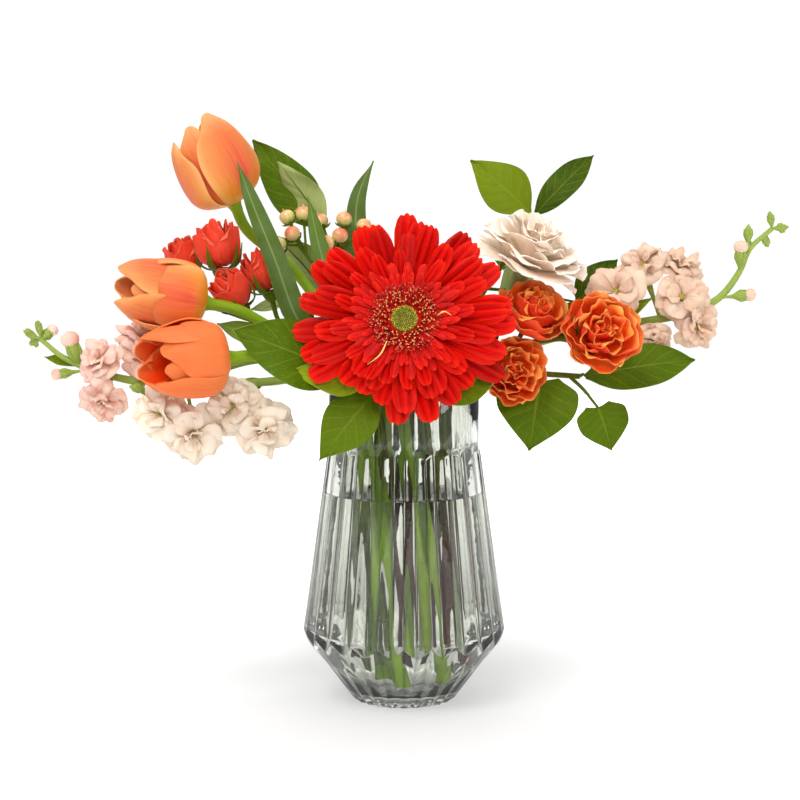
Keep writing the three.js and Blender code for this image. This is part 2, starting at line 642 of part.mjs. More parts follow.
stock('stock_right', { slot: 16, foot: 20 }, [
  V(42, 7, 184), V(80, 4, 199), V(125, 0, 208), V(157, 4, 214), V(174, 8, 222), V(185, 9, 236),
  V(191, 10, 249), V(203, 10, 260),
], [
  [[V(117, -2, 224), V(-0.4, -0.8, 0.4), 14]],
  [[V(133, 10, 237), V(-0.3, -0.6, 0.7), 11.5], [V(150, 10, 236), V(0.3, -0.5, 0.8), 11.5]],
  [[V(151, -3, 221), V(0, -0.9, 0.4), 11.5], [V(158, -4, 208), V(0.4, -0.9, -0.2), 11]],
  [[V(136, -4, 202), V(0, -0.7, -0.7), 9]],
  [[V(134, 9, 192), V(0, -0.5, -0.85), 12]],
], [
  [V(186, 4, 251), 1.3], [V(190, 10, 263), 0.9], [V(201, 8, 270), 0.8], [V(213, 11, 261), 0.8],
  [V(203, 17, 251), 0.9], [V(192, 4, 223), 1.2],
], [
  { base: V(106, -2, 203), tip: V(134, -10, 222), width: 12, rows: 3 },
  { base: V(134, 7, 210), tip: V(126, 24, 188), width: 13, facing: V(0.3, 0.6, 1), rows: 3 },
], BLUSH);

stock('stock_left', { slot: 169, foot: 24 }, [
  V(-43, 1, 180), V(-77, -14, 189), V(-110, -18, 181), V(-134, -20, 177), V(-160, -18, 181),
  V(-183, -17, 190), V(-196, -15, 200),
], [
  [[V(-161, -25, 187), V(-0.3, -0.8, 0.5), 10.5]],
  [[V(-160, -27, 170), V(-0.1, -0.85, -0.5), 10.5]],
  [[V(-141, -9, 197), V(0, -0.6, 0.8), 12], [V(-137, -15, 188), V(0.1, -0.9, 0.3), 11]],
], [
  [V(-181, -20, 204), 1.7], [V(-188, -10, 207), 1.1], [V(-197, -18, 211), 0.8], [V(-206, -15, 205), 0.8],
  [V(-204, -9, 197), 0.7], [V(-190, -22, 181), 1.1],
], [
  { base: V(-176, -14, 186), tip: V(-196, -6, 190), width: 6, rows: 3 },
], 0xf3cfc0);

stock('stock_low', { slot: -170, foot: 28 }, [
  V(-36, -7, 177), V(-48, -12, 180), V(-68, -20, 178), V(-92, -23, 176), V(-116, -25, 172), V(-131, -27, 171),
], [
  [[V(-127, -33, 162), V(-0.4, -0.85, 0), 13.5], [V(-112, -34, 153), V(0.1, -0.9, -0.35), 13.5]],
  [[V(-90, -31, 165), V(-0.1, -0.9, 0.1), 13.5], [V(-75, -31, 155), V(0.3, -0.85, -0.35), 13.5]],
], [
  [V(-147, -30, 176), 0.9],
], [
  { base: V(-75, -20, 178), tip: V(-96, -6, 166), width: 11, rows: 3 },
], 0xf6eadb);

// ---------------------------------------------------------------- hypericum

const BERRIES = [
  [V(-64, 5, 266), 0], [V(-55, 4, 268), 0], [V(-61, 1, 257), 0], [V(-68, 0, 251), 0],
  [V(-33, 7, 265), 1], [V(-35, 2, 256), 1], [V(-22, 4, 261), 1], [V(-42, 1, 252), 1],
  [V(-46, 12, 264), 1],
];
const FORKS = [V(-58, 5, 251), V(-34, 7, 250)];
const FORK_FROM = V(-42, 10, 229);

function hypericum() {
  const above = [V(-12, 28, 186), V(-28, 22, 212), V(-42, 11, 230)];
  const { curve, body } = stem({ slot: 97, foot: 34 }, 1.6, above);
  const parts = [body];
  FORKS.forEach((fork) => parts.push(solid(bar(line(FORK_FROM, fork), 1.1, 5, 200))));
  BERRIES.forEach(([centre, cluster], k) => {
    const root = FORK_FROM.clone().lerp(FORKS[cluster], 0.6 + 0.13 * (k % 4));
    const top = centre.clone().addScaledVector(centre.clone().sub(root).normalize(), BERRY_RADIUS);
    const end = [[0.8, 8.6], [BERRY_RADIUS, 4.4], [2.6, 1], [0, 0]];
    parts.push(stalkTo(root, top, end));
  });
  parts.push(leafOn(curve, { base: V(-30, 26, 213), tip: V(-54, 42, 222), width: 13, rows: 3 }));
  parts.push(leafOn(curve, { base: V(-24, 28, 208), tip: V(-12, 48, 230), width: 13, rows: 3 }));
  return fuse(parts);
}

add('hypericum_spray', hypericum(), 0xe9a77a, 0.45);

// ---------------------------------------------------------------- leafy stems

function greens(name, slotSpec, path, leaves, color) {
  const { curve, body } = stem(slotSpec, 1.7, path);
  const parts = [body, ...leaves.map((spec) => leafOn(curve, spec))];
  add(name, fuse(parts), color, 0.5);
}

greens('greens_front_left', { slot: -120, foot: 38 }, [V(-18, -35, 177), V(-24, -42, 182)], [
  { base: V(-29, -46, 182), tip: V(-89, -56, 207), width: 36, arch: 0.04 },
  { base: V(-21, -49, 177), tip: V(-58, -56, 186), width: 19, from: V(-20, -38, 179) },
  { base: V(-15, -46, 174), tip: V(-44, -58, 139), width: 28, arch: 0.05, from: V(-18, -36, 177) },
], 0x3f7a12);

greens('greens_front', { slot: -64, foot: 36 }, [V(13, -36, 177), V(12, -43, 178)], [
  { base: V(12, -48, 174), tip: V(53, -57, 187), width: 24, facing: V(0.1, -1, 0.4), arch: -0.08 },
], 0x4f8a1e);

greens('greens_right', { slot: -12, foot: 30 }, [
  V(41, -9, 178), V(60, -13, 182), V(80, -15, 181), V(95, -15, 180),
], [
  { base: V(73, -19, 178), tip: V(67, -28, 141), width: 44, outline: HEART, arch: 0.05, from: V(71, -14, 182) },
  { base: V(104, -24, 164), tip: V(111, -27, 141), width: 28, outline: HEART, from: V(90, -15, 180) },
  { base: V(98, -15, 180), tip: V(157, -16, 189), width: 26, outline: LONG, arch: 0.05 },
], 0x3f7a12);

greens('greens_top_right', { slot: 36, inner: true, foot: 28 }, [
  V(22, 11, 190), V(42, 14, 222), V(60, 17, 248), V(71, 18, 266),
], [
  { base: V(70, 17, 269), tip: V(37, 20, 298), width: 27, facing: V(0, -1, 0.2) },
  { base: V(73, 19, 268), tip: V(106, 26, 301), width: 17, outline: LONG },
  { base: V(96, 15, 219), tip: V(119, 19, 243), width: 20, from: V(45, 14.5, 226) },
  { base: V(56, 24, 238), tip: V(72, 50, 262), width: 22, facing: V(0, 0.5, 1), rows: 3 },
], 0x44741a);

greens('greens_top_left', { slot: 72, inner: true, foot: 26 }, [
  V(-3, 20, 192), V(-18, 27, 222), V(-36, 28, 248), V(-46, 26, 258),
], [
  { base: V(-48, 28, 260), tip: V(-85, 32, 310), width: 28, facing: V(0.2, -1, 0.2) },
  { base: V(-44, 22, 262), tip: V(-70, 18, 297), width: 19, facing: V(-0.2, -1, 0.1), wave: 0.06 },
  { base: V(-27, 34, 236), tip: V(-36, 60, 264), width: 22, facing: V(0, 0.5, 1), rows: 3 },
], 0x3d6f1c);

greens('greens_back_left', { slot: 125, foot: 32 }, [V(-22, 36, 180), V(-32, 46, 200), V(-44, 52, 222)], [
  { base: V(-46, 54, 224), tip: V(-78, 60, 258), width: 24, facing: V(-0.2, 0.6, 0.8), rows: 3 },
  { base: V(-40, 50, 214), tip: V(-88, 48, 214), width: 26, facing: V(-0.2, 0.3, 1), rows: 3 },
  { base: V(-33, 50, 200), tip: V(-58, 70, 178), width: 25, facing: V(-0.3, 1, 0.5), rows: 3 },
], 0x3f7a12);

greens('greens_back_right', { slot: 62, foot: 34 }, [V(20, 37, 180), V(34, 45, 198), V(52, 49, 216)], [
  { base: V(54, 50, 219), tip: V(86, 58, 246), width: 24, facing: V(0.2, 0.6, 0.8), rows: 3 },
  { base: V(48, 46, 208), tip: V(96, 40, 206), width: 26, facing: V(0.2, 0.3, 1), rows: 3 },
  { base: V(33, 50, 196), tip: V(50, 72, 172), width: 25, facing: V(0.3, 1, 0.5), rows: 3 },
], 0x3f7a12);

// ---------------------------------------------------------------- glass and water last

add('vase', vase(), 0xdfe8e4, 0.05, { transparent: true, opacity: 0.35 });
add('water', water(), 0xeaf4f2, 0.02, { transparent: true, opacity: 0.2 });

export default bouquet;
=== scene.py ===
"""A mixed bouquet led by a red gerbera, standing in water in a clear fluted glass vase.

Shapes are worked out in millimetres, +Z up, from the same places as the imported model, and
written to meshes in metres. Seen from the front, +X is to the right and -Y toward the viewer.
"""

import json
import math
import random

import bmesh
import bpy
from mathutils import Matrix, Vector, noise

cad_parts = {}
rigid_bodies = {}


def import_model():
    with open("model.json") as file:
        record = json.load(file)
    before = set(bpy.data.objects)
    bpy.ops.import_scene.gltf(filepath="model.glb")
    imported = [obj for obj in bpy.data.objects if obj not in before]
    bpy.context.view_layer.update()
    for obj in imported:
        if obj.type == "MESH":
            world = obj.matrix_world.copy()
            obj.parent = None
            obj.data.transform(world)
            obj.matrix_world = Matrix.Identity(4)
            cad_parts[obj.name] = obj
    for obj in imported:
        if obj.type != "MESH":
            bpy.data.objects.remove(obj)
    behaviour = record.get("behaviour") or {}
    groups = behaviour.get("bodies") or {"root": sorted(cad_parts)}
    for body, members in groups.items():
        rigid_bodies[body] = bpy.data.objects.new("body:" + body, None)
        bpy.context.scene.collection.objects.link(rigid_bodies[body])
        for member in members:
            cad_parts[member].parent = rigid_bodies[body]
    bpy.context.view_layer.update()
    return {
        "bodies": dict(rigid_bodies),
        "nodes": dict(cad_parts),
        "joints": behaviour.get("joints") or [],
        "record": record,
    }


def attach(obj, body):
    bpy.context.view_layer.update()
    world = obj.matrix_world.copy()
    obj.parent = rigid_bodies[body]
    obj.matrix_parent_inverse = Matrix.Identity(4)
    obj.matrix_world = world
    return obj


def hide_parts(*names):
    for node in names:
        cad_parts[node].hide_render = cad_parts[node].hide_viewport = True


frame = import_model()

# ---------------------------------------------------------------- driving dimensions, in mm

MM = 0.001

CAMERA_PLACE = (-2.2, -950, 242)
CAMERA_TARGET = (-2.2, 0, 166)
CAMERA_LENS = 77.97

VASE_HEIGHT = 170
VASE_FOOT_RADIUS = 26
VASE_SHOULDER_RADIUS = 56
VASE_COLLAR_RADIUS = 41.3
VASE_COLLAR_INNER = 38.2
VASE_COLLAR_FROM = 142
VASE_FLUTES = 24
WATER_LEVEL = 114.6

NECK_HEIGHT = 162
OUTER_RING = 27
INNER_RING = 13

# The cut ends stand on smaller rings under the neck, turned about the axis. A stem is straight
# for its first STRAIGHT_SHARE of the way to the neck.
STEM_TWIST = 48
STEM_END = 12
END_SHARE = 0.84
STRAIGHT_SHARE = 0.76

GERBERA_RADIUS = 57.5
TULIP_RADIUS = 19.6
CARNATION_RADIUS = 33
BERRY_RADIUS = 4.4
GOLDEN_ANGLE = 137.5

# Side veins along a leaf, and how many of their gaps each slants past on its way to the edge.
SIDE_VEINS = 6.5
VEIN_SLANT = 1.7

# How deep light passes into a petal or a leaf, in metres.
SKIN_DEPTH = 0.002

# ---------------------------------------------------------------- small helpers


def V(x, y, z):
    return Vector((x, y, z))


def mix(a, b, t):
    """a when t is 0, b when it is 1, and in proportion between them."""
    return a + (b - a) * t


def step(low, high, value):
    """0 below low, 1 above high, and smooth between them."""
    t = min(max((value - low) / (high - low), 0), 1)
    return t * t * (3 - 2 * t)


def ease(values, t):
    """Reads a smooth value from evenly spaced stations."""
    place = min(max(t, 0), 1) * (len(values) - 1)
    i = min(int(place), len(values) - 2)
    before, low, high = values[max(i - 1, 0)], values[i], values[i + 1]
    after = values[min(i + 2, len(values) - 1)]
    t = place - i
    bend = 2 * before - 5 * low + 4 * high - after + t * (3 * (low - high) + after - before)
    return low + 0.5 * t * (high - before + t * bend)


def polar(radius, angle, height):
    turn = math.radians(angle)
    return V(radius * math.cos(turn), radius * math.sin(turn), height)


def smooth_path(points, spacing=3):
    """Points along a smooth curve that passes through the given ones."""
    chain = [points[0] * 2 - points[1], *points, points[-1] * 2 - points[-2]]
    line = []
    for a, b, c, d in zip(chain, chain[1:], chain[2:], chain[3:]):
        before, here, after = ((q - p).length ** 0.5 for p, q in ((a, b), (b, c), (c, d)))
        leave = ((b - a) / before - (c - a) / (before + here)) * here + (c - b)
        arrive = ((d - c) / after - (d - b) / (here + after)) * here + (c - b)
        count = max(1, round((c - b).length / spacing))
        for i in range(count):
            t = i / count
            start = b * (2 * t**3 - 3 * t**2 + 1) + leave * (t**3 - 2 * t**2 + t)
            line.append(start + c * (3 * t**2 - 2 * t**3) + arrive * (t**3 - t**2))
    return [*line, points[-1]]


def frame_from(x, z, origin):
    """A frame with +X and +Z along two directions at right angles."""
    matrix = Matrix((x, z.cross(x), z)).transposed().to_4x4()
    matrix.translation = origin
    return matrix


def head_frame(base, axis, turn=0):
    """A frame with +Z along an axis, turned about it."""
    z = axis.normalized()
    up = V(0, 1, 0) if abs(z.z) > 0.95 else V(0, 0, 1)
    return frame_from(up.cross(z).normalized(), z, base) @ turned(turn)


def leaf_frame(base, tip, facing):
    """A frame with +X from base to tip and +Z as near to the facing direction as it can be."""
    x = (tip - base).normalized()
    return frame_from(x, (facing - x * facing.dot(x)).normalized(), base)


def turned(angle):
    return Matrix.Rotation(math.radians(angle), 4, "Z")


def nearest(line, point):
    return min(line, key=lambda place: (place - point).length)


def select_only(*objects):
    for other in bpy.context.view_layer.objects:
        other.select_set(False)
    for obj in objects:
        obj.select_set(True)
    bpy.context.view_layer.objects.active = objects[0]


# ---------------------------------------------------------------- meshes


class Bunch:
    """Gathers petals, leaves and rods into one piece. Sheets get a thickness when it is made."""

    def __init__(self):
        self.sheets = bmesh.new()
        self.solids = bmesh.new()
        for mesh in (self.sheets, self.solids):
            mesh.loops.layers.uv.new("UVMap")
            mesh.verts.layers.float.new("tone")

    def sheet(self, surface, along, across, tone, frame=Matrix.Identity(4)):
        """A grid bent to surface(u, v): u runs from root to tip, and v from -1 to 1 across."""
        made = bmesh.ops.create_grid(
            self.sheets, x_segments=across, y_segments=along, size=1, calc_uvs=True
        )
        layer = self.sheets.verts.layers.float["tone"]
        for vertex in made["verts"]:
            point = frame @ surface((vertex.co.y + 1) / 2, vertex.co.x)
            vertex.co = point * MM
            vertex[layer] = tone

    def loft(self, rings, tone=0.5, frame=Matrix.Identity(4)):
        """Skins rings of equally many points, and closes both ends."""
        layer = self.solids.verts.layers.float["tone"]
        uv = self.solids.loops.layers.uv["UVMap"]
        rows = []
        for ring in rings:
            rows.append([self.solids.verts.new((frame @ point) * MM) for point in ring])
            for vertex in rows[-1]:
                vertex[layer] = tone
        sides = len(rings[0])
        for r in range(len(rows) - 1):
            for k in range(sides):
                after = (k + 1) % sides
                corners = (rows[r][k], rows[r][after], rows[r + 1][after], rows[r + 1][k])
                face = self.solids.faces.new(corners)
                places = ((k, r), (k + 1, r), (k + 1, r + 1), (k, r + 1))
                for loop, (i, j) in zip(face.loops, places):
                    loop[uv].uv = (i / sides, j / (len(rows) - 1))
        self.solids.faces.new(rows[0][::-1])
        top = self.solids.faces.new(rows[-1])
        for loop in top.loops:
            loop[uv].uv = (0.5, 1)

    def rod(self, line, radius, sides, tone=0.5, frame=Matrix.Identity(4)):
        """A round rod along a line of points. Its radius is a number or stations along it."""
        radii = radius if isinstance(radius, (list, tuple)) else [radius, radius]
        side = (line[1] - line[0]).orthogonal().normalized()
        rings = []
        for i, centre in enumerate(line):
            ahead = (line[min(i + 1, len(line) - 1)] - line[max(i - 1, 0)]).normalized()
            side = (side - ahead * side.dot(ahead)).normalized()
            beside = ahead.cross(side)
            wide = ease(radii, i / (len(line) - 1))
            rings.append([])
            for k in range(sides):
                angle = 2 * math.pi * k / sides
                spoke = side * math.cos(angle) + beside * math.sin(angle)
                rings[-1].append(centre + spoke * wide)
        self.loft(rings, tone, frame)

    def turning(self, profile, sides, tone=0.5, frame=Matrix.Identity(4)):
        """A solid of revolution about +Z from [radius, height] pairs."""
        rings = []
        for radius, height in profile:
            radius = max(radius, 0.02)
            rings.append([polar(radius, 360 * k / sides, height) for k in range(sides)])
        self.loft(rings, tone, frame)

    def make(self, name, wall):
        """Turns what was gathered into one object. The upper side of a sheet is marked for its
        shader, and so is every face of a solid."""
        parts = []
        for mesh, thickness in ((self.sheets, wall), (self.solids, 0)):
            if not mesh.verts:
                continue
            if not thickness:
                bmesh.ops.recalc_face_normals(mesh, faces=mesh.faces)
            data = bpy.data.meshes.new(name)
            mesh.to_mesh(data)
            obj = bpy.data.objects.new(name, data)
            bpy.context.scene.collection.objects.link(obj)
            count = len(data.vertices)
            if thickness:
                solidify = obj.modifiers.new("wall", "SOLIDIFY")
                solidify.thickness = thickness * MM
                solidify.offset = 0
                select_only(obj)
                bpy.ops.object.modifier_apply(modifier="wall")
            upper = obj.data.attributes.new("upper", "FLOAT", "POINT")
            values = [float(i >= count or not thickness) for i in range(len(obj.data.vertices))]
            upper.data.foreach_set("value", values)
            parts.append(obj)
        self.sheets.free()
        self.solids.free()
        select_only(*parts)
        if len(parts) > 1:
            bpy.ops.object.join()
        bpy.ops.object.shade_smooth_by_angle(angle=math.radians(50))
        parts[0].name = name
        return parts[0]


def piece(name, bunch, finish, slot, *nodes, wall=0.5):
    """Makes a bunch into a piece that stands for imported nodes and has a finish."""
    obj = bunch.make(name, wall)
    obj.data.materials.append(finish)
    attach(obj, "root")
    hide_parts(*nodes)
    return obj


# ---------------------------------------------------------------- shaders


def paint(code):
    """A shader's colour from its usual six-figure code. Any other value stays as it is."""
    if not isinstance(code, str):
        return code
    parts = [int(code[i : i + 2], 16) / 255 for i in (0, 2, 4)]
    return (*[c / 12.92 if c <= 0.04045 else ((c + 0.055) / 1.055) ** 2.4 for c in parts], 1)


def math_method(operation, swapped=False):
    """A method of Value that adds a Math node, which takes the other value first when swapped."""

    def method(self, other):
        pair = (other, self) if swapped else (self, other)
        return self.finish.math(operation, *pair)

    return method


class Value:
    """A number that changes over a surface. Arithmetic on it adds Math nodes."""

    def __init__(self, finish, socket):
        self.finish = finish
        self.socket = socket

    __add__, __radd__ = math_method("ADD"), math_method("ADD", True)
    __sub__, __rsub__ = math_method("SUBTRACT"), math_method("SUBTRACT", True)
    __mul__, __rmul__ = math_method("MULTIPLY"), math_method("MULTIPLY", True)
    __truediv__, __pow__ = math_method("DIVIDE"), math_method("POWER")

    # Runs up to a reach and back again.
    zigzag = math_method("PINGPONG")

    def __abs__(self):
        return self.finish.math("ABSOLUTE", self)

    def clipped(self):
        """Held between 0 and 1."""
        return self.finish.math("ADD", self, 0, use_clamp=True)


class Finish:
    """A material in the making: each method adds nodes and gives back what they put out."""

    def __init__(self, name, **constants):
        self.material = bpy.data.materials.new(name)
        self.material.use_nodes = True
        self.tree = self.material.node_tree
        self.shader = self.tree.nodes["Principled BSDF"]
        for key, value in constants.items():
            socket = key.replace("_", " ").title().replace("Ior", "IOR")
            self.shader.inputs[socket].default_value = value

    def put(self, socket, value):
        """Gives a socket a link, a number or a colour."""
        source = value.socket if isinstance(value, Value) else value
        if isinstance(source, bpy.types.NodeSocket):
            self.tree.links.new(source, socket)
        else:
            socket.default_value = paint(source)

    def node(self, kind, settings=None, inputs=None):
        """Adds a node of a kind, with its settings first and then its sockets' values or links."""
        added = self.tree.nodes.new("ShaderNode" + kind)
        for name, value in (settings or {}).items():
            setattr(added, name, value)
        for name, value in (inputs or {}).items():
            self.put(added.inputs[name], value)
        return added

    def math(self, operation, *values, use_clamp=False):
        inputs = dict(enumerate(values))
        added = self.node("Math", {"operation": operation, "use_clamp": use_clamp}, inputs)
        return Value(self, added.outputs[0])

    def reading(self, attribute):
        return Value(self, self.node("Attribute", {"attribute_name": attribute}).outputs["Fac"])

    def map_place(self):
        """The place on a petal or leaf: across and along it, each from 0 to 1."""
        place = self.node("UVMap", {"uv_map": "UVMap"}).outputs[0]
        parts = self.node("SeparateXYZ", inputs={0: place}).outputs
        return Value(self, parts[0]), Value(self, parts[1])

    def point(self, x, y, z):
        return self.node("CombineXYZ", inputs={0: x, 1: y, 2: z}).outputs[0]

    def object_place(self):
        return self.node("TexCoord").outputs["Object"]

    def cloud(self, place, scale, detail=2, roughness=0.5):
        """Soft random patches, from 0 to 1."""
        inputs = {"Vector": place, "Scale": scale, "Detail": detail, "Roughness": roughness}
        return Value(self, self.node("TexNoise", inputs=inputs).outputs["Fac"])

    def cell_edges(self, place, scale):
        """The distance to the nearest edge between random cells."""
        inputs = {"Vector": place, "Scale": scale}
        added = self.node("TexVoronoi", {"feature": "DISTANCE_TO_EDGE"}, inputs)
        return Value(self, added.outputs["Distance"])

    def ramp(self, value, *stops):
        """A colour that runs through stops, each a place from 0 to 1 and a colour."""
        added = self.node("ValToRGB", inputs={"Fac": value})
        elements = added.color_ramp.elements
        while len(elements) < len(stops):
            elements.new(0.5)
        for element, (position, colour) in zip(elements, stops):
            element.position = position
            element.color = paint(colour)
        return added.outputs["Color"]

    def blend(self, share, first, second, blend_type="MIX"):
        settings = {"data_type": "RGBA", "blend_type": blend_type, "clamp_factor": True}
        return self.node("Mix", settings, {0: share, 6: first, 7: second}).outputs[2]

    def bump(self, height, distance, strength):
        inputs = {"Height": height, "Distance": distance * MM, "Strength": strength}
        self.put(self.shader.inputs["Normal"], self.node("Bump", inputs=inputs).outputs["Normal"])

    def colour(self, value):
        self.put(self.shader.inputs["Base Color"], value)

    def roughness(self, value):
        self.put(self.shader.inputs["Roughness"], value)

    def lets_light_through(self, share):
        """Lamps shine straight through, so that what is behind or inside isn't left dark."""
        clear = self.node("BsdfTransparent", inputs={"Color": (share, share, share, 1)}).outputs[0]
        to_lamp = self.node("LightPath").outputs["Is Shadow Ray"]
        both = self.node("MixShader", inputs={0: to_lamp, 1: self.shader.outputs[0], 2: clear})
        self.tree.links.new(both.outputs[0], self.tree.nodes["Material Output"].inputs["Surface"])


def skin(name, glow, gloss, radius):
    """The finish of a petal, leaf or stem, which light passes into a little way."""
    return Finish(name, Subsurface_Weight=glow, Subsurface_Scale=SKIN_DEPTH,
                  Subsurface_Radius=radius, Specular_IOR_Level=gloss)


def petal_finish(name, root, middle, rim, flame=None, back=None, shade=None, gloss=0.2, glow=0.25,
                 streaks=0.4, rise=0.34, hem=0.88, vary=0.3, grain=0.25, furrows=0):
    """A petal: colours from root to rim, a flame up the middle, fine streaks, painted shade along
    the furrows, and a back of another colour."""
    finish = skin(name, glow, gloss, (1, 0.9, 0.8))
    across, along = finish.map_place()
    tone = finish.reading("tone")
    side = abs(across - 0.5) * 2
    threads = finish.cloud(finish.point(across * 34, along * 2.2, tone * 31), 1, 3, 0.6)
    patches = finish.cloud(finish.point(across * 3, along * 3, tone * 47), 1)
    reach = (along + (patches - 0.5) * 0.25 - side * 0.05).clipped()
    colour = finish.ramp(reach, (0, root), (rise, middle), (hem, middle), (1, rim))
    colour = finish.blend((side ** 5) * 0.8, colour, rim)
    if flame:
        heart = (1 - side * 1.2).clipped() * (along * 3).clipped() * (1.3 - along).clipped()
        colour = finish.blend(heart * (0.3 + threads * 1.1), colour, flame)
    if back:
        colour = finish.blend((1 - finish.reading("upper")) * 0.85, colour, back)
    dark = finish.blend(0.55, middle, (0, 0, 0, 1))
    colour = finish.blend(((threads - 0.5) * 2.2).clipped() * streaks, colour, dark, "MULTIPLY")
    # Painted shade: along the furrows the colour darkens toward the shade colour, standing in for
    # the shade that falls in the grooves of the shape. It fades out toward the tip.
    if furrows:
        furrow_painted_shade = finish.math("COSINE", (side * furrows + 0.3) * math.pi)
        fading = (1.25 - along).clipped()
        colour = finish.blend((furrow_painted_shade * -0.5 + 0.25).clipped() * fading, colour, shade)
    colour = finish.blend((0.5 - tone) * vary, colour, shade or middle)
    finish.colour(colour)
    finish.roughness(0.4 + threads * 0.2)
    finish.bump(threads, grain, 0.5)
    return finish.material


def leaf_finish(name, dark, middle, light, vein, back):
    """A leaf: a pale midrib and side veins that curve to the tip, over a mottled green."""
    finish = skin(name, 0.1, 0.08, (0.5, 1, 0.2))
    across, along = finish.map_place()
    tone = finish.reading("tone")
    side = abs(across - 0.5) * 2
    place = finish.object_place()
    patches = finish.cloud(place, 90, 3, 0.6)
    grain = finish.cloud(place, 900)
    run = along * SIDE_VEINS - (side ** 0.8) * VEIN_SLANT + tone * 3
    ribs = (1 - run.zigzag(0.5) * 13 * (1.25 - side * 0.5)).clipped() * (1 - side ** 6).clipped()
    midrib = (1 - (side * 24) / (1.6 - along)).clipped()
    veins = (midrib + ribs * 0.55).clipped()
    net = finish.cell_edges(finish.point(across * 26, along * 40, tone * 9), 1)
    green = finish.ramp(tone, (0, dark), (0.5, middle), (1, light))
    green = finish.blend((patches - 0.35) * 0.7, green, finish.blend(0.3, green, light))
    green = finish.blend((0.1 - net) * 2, green, vein)
    green = finish.blend(veins * 0.45, green, vein)
    under = finish.blend(veins * 0.7, back, vein)
    finish.colour(finish.blend(1 - finish.reading("upper"), green, under))
    finish.roughness(0.42 + patches * 0.18 + (1 - finish.reading("upper")) * 0.2)
    quilt = run.zigzag(0.5) * 1.6 - veins * 0.5 + grain * 0.06
    finish.bump(quilt + (net * 1.4).clipped() * 0.2, 0.6, 0.5)
    return finish.material


def stem_finish(name, lower, upper, streak, grain=0.35):
    """A stem: long streaks, and a change of colour from the water up to the blooms."""
    finish = skin(name, 0.05, 0.1, (0.6, 1, 0.25))
    place = finish.object_place()
    height = Value(finish, finish.node("SeparateXYZ", inputs={0: place}).outputs[2]) * (1 / MM)
    long_way = finish.node("Mapping", inputs={"Vector": place, "Scale": (900, 900, 90)})
    streaks = finish.cloud(long_way.outputs[0], 1, 3, 0.6)
    patches = finish.cloud(place, 60, 3, 0.6)
    rise = ((height - 95 + (patches - 0.5) * 90) / 60).clipped()
    green = finish.blend(rise, lower, upper)
    finish.colour(finish.blend(((streaks - 0.45) * 3).clipped() * 0.6, green, streak))
    finish.roughness(0.45 + streaks * 0.2)
    finish.bump(streaks, grain, 0.5)
    return finish.material


# ---------------------------------------------------------------- leaves

OVATE = (0.1, 0.55, 0.86, 1, 0.98, 0.84, 0.6, 0.3, 0.0)
LONG = (0.12, 0.5, 0.8, 0.96, 1, 0.92, 0.7, 0.36, 0.0)
HEART = (0.45, 0.93, 1, 0.98, 0.9, 0.72, 0.5, 0.24, 0.0)


def leaf(greenery, stalk, base, tip, width, facing=V(0, -1, 0.4), outline=OVATE, arch=0.07,
         wave=0.035, tone=0.5):
    """A leaf on its stalk: a folded midrib, an arch along its length and a waved edge."""
    length, fold = (tip - base).length, 0.14
    place = leaf_frame(base, tip, facing)
    draws = random.Random(int(abs(base.x * 7 + tip.z * 3)))
    phase, twist = draws.uniform(0, 6), draws.uniform(-0.1, 0.1)

    def surface(u, v):
        half = max(width / 2 * ease(outline, u), 0.12)
        rise = arch * length * 4 * u * (1 - u) + fold * half * math.sqrt(v * v + 0.01)
        ripple = wave * length * abs(v) ** 1.5 * math.sin(u * 9.5 + v * 1.5 + phase)
        cushions = math.sin((u * SIDE_VEINS - abs(v) * VEIN_SLANT) * 2 * math.pi)
        quilt = 0.35 * cushions * abs(v) * (1 - abs(v))
        lobe = -0.07 * length * (abs(v) ** 1.5) * max(0, 1 - u * 5) if outline is HEART else 0
        return V(u * length + lobe, v * half, rise + ripple + quilt + twist * v * half * u)

    greenery.sheet(surface, 26, 12, tone, place)
    root = place @ V(0.4, 0, fold * 0.2)
    sag = (stalk + root) / 2 + V(0, 0, 1.2)
    thick = 0.55 + width * 0.012
    stalk_radii = [thick * 1.25, thick, thick * 0.8]
    greenery.rod(smooth_path([stalk, sag, root], 1.5), stalk_radii, 7, tone)
    stations = [0.01 + 0.06 * k for k in range(15)]
    midrib = [place @ (surface(u, 0) - V(0, 0, 0.42)) for u in stations]
    greenery.rod(midrib, [thick * 0.8, thick * 0.45, 0.1], 5, tone)


def strap(greenery, points, width, facing, tone):
    """A strap leaf: a channelled blade that follows a curve and narrows to a point."""
    line = smooth_path(points, 2.5)
    widths = (0.45, 0.85, 1, 1, 0.93, 0.78, 0.52, 0.0)

    def surface(u, v):
        place = u * (len(line) - 1)
        i = min(int(place), len(line) - 2)
        ahead = (line[i + 1] - line[i]).normalized()
        out = (facing - ahead * facing.dot(ahead)).normalized()
        half = max(width / 2 * ease(widths, u), 0.1)
        ripple = 0.05 * width * math.sin(u * 11 + v) * abs(v)
        centre = line[i].lerp(line[i + 1], place - i)
        return centre + out.cross(ahead) * (v * half) + out * (half * 0.34 * v * v + ripple)

    greenery.sheet(surface, 34, 8, tone)


# ---------------------------------------------------------------- stems


def stem_path(slot, *above, foot, inner=False):
    """A stem stands in a slot: an angle on the outer or inner ring in the neck. It runs straight
    down to its cut end, turned about the axis, and rises through the given points above."""
    ring, share = (INNER_RING, 0.6) if inner else (OUTER_RING, 1)
    neck = polar(ring, slot, NECK_HEIGHT)
    end = polar(ring * END_SHARE, slot + STEM_TWIST * share, STEM_END) + V(3, 0, 0)
    run = neck - end
    cut = end + run * ((foot - STEM_END) / run.z)
    return smooth_path([cut, end + run * STRAIGHT_SHARE, neck, *above])


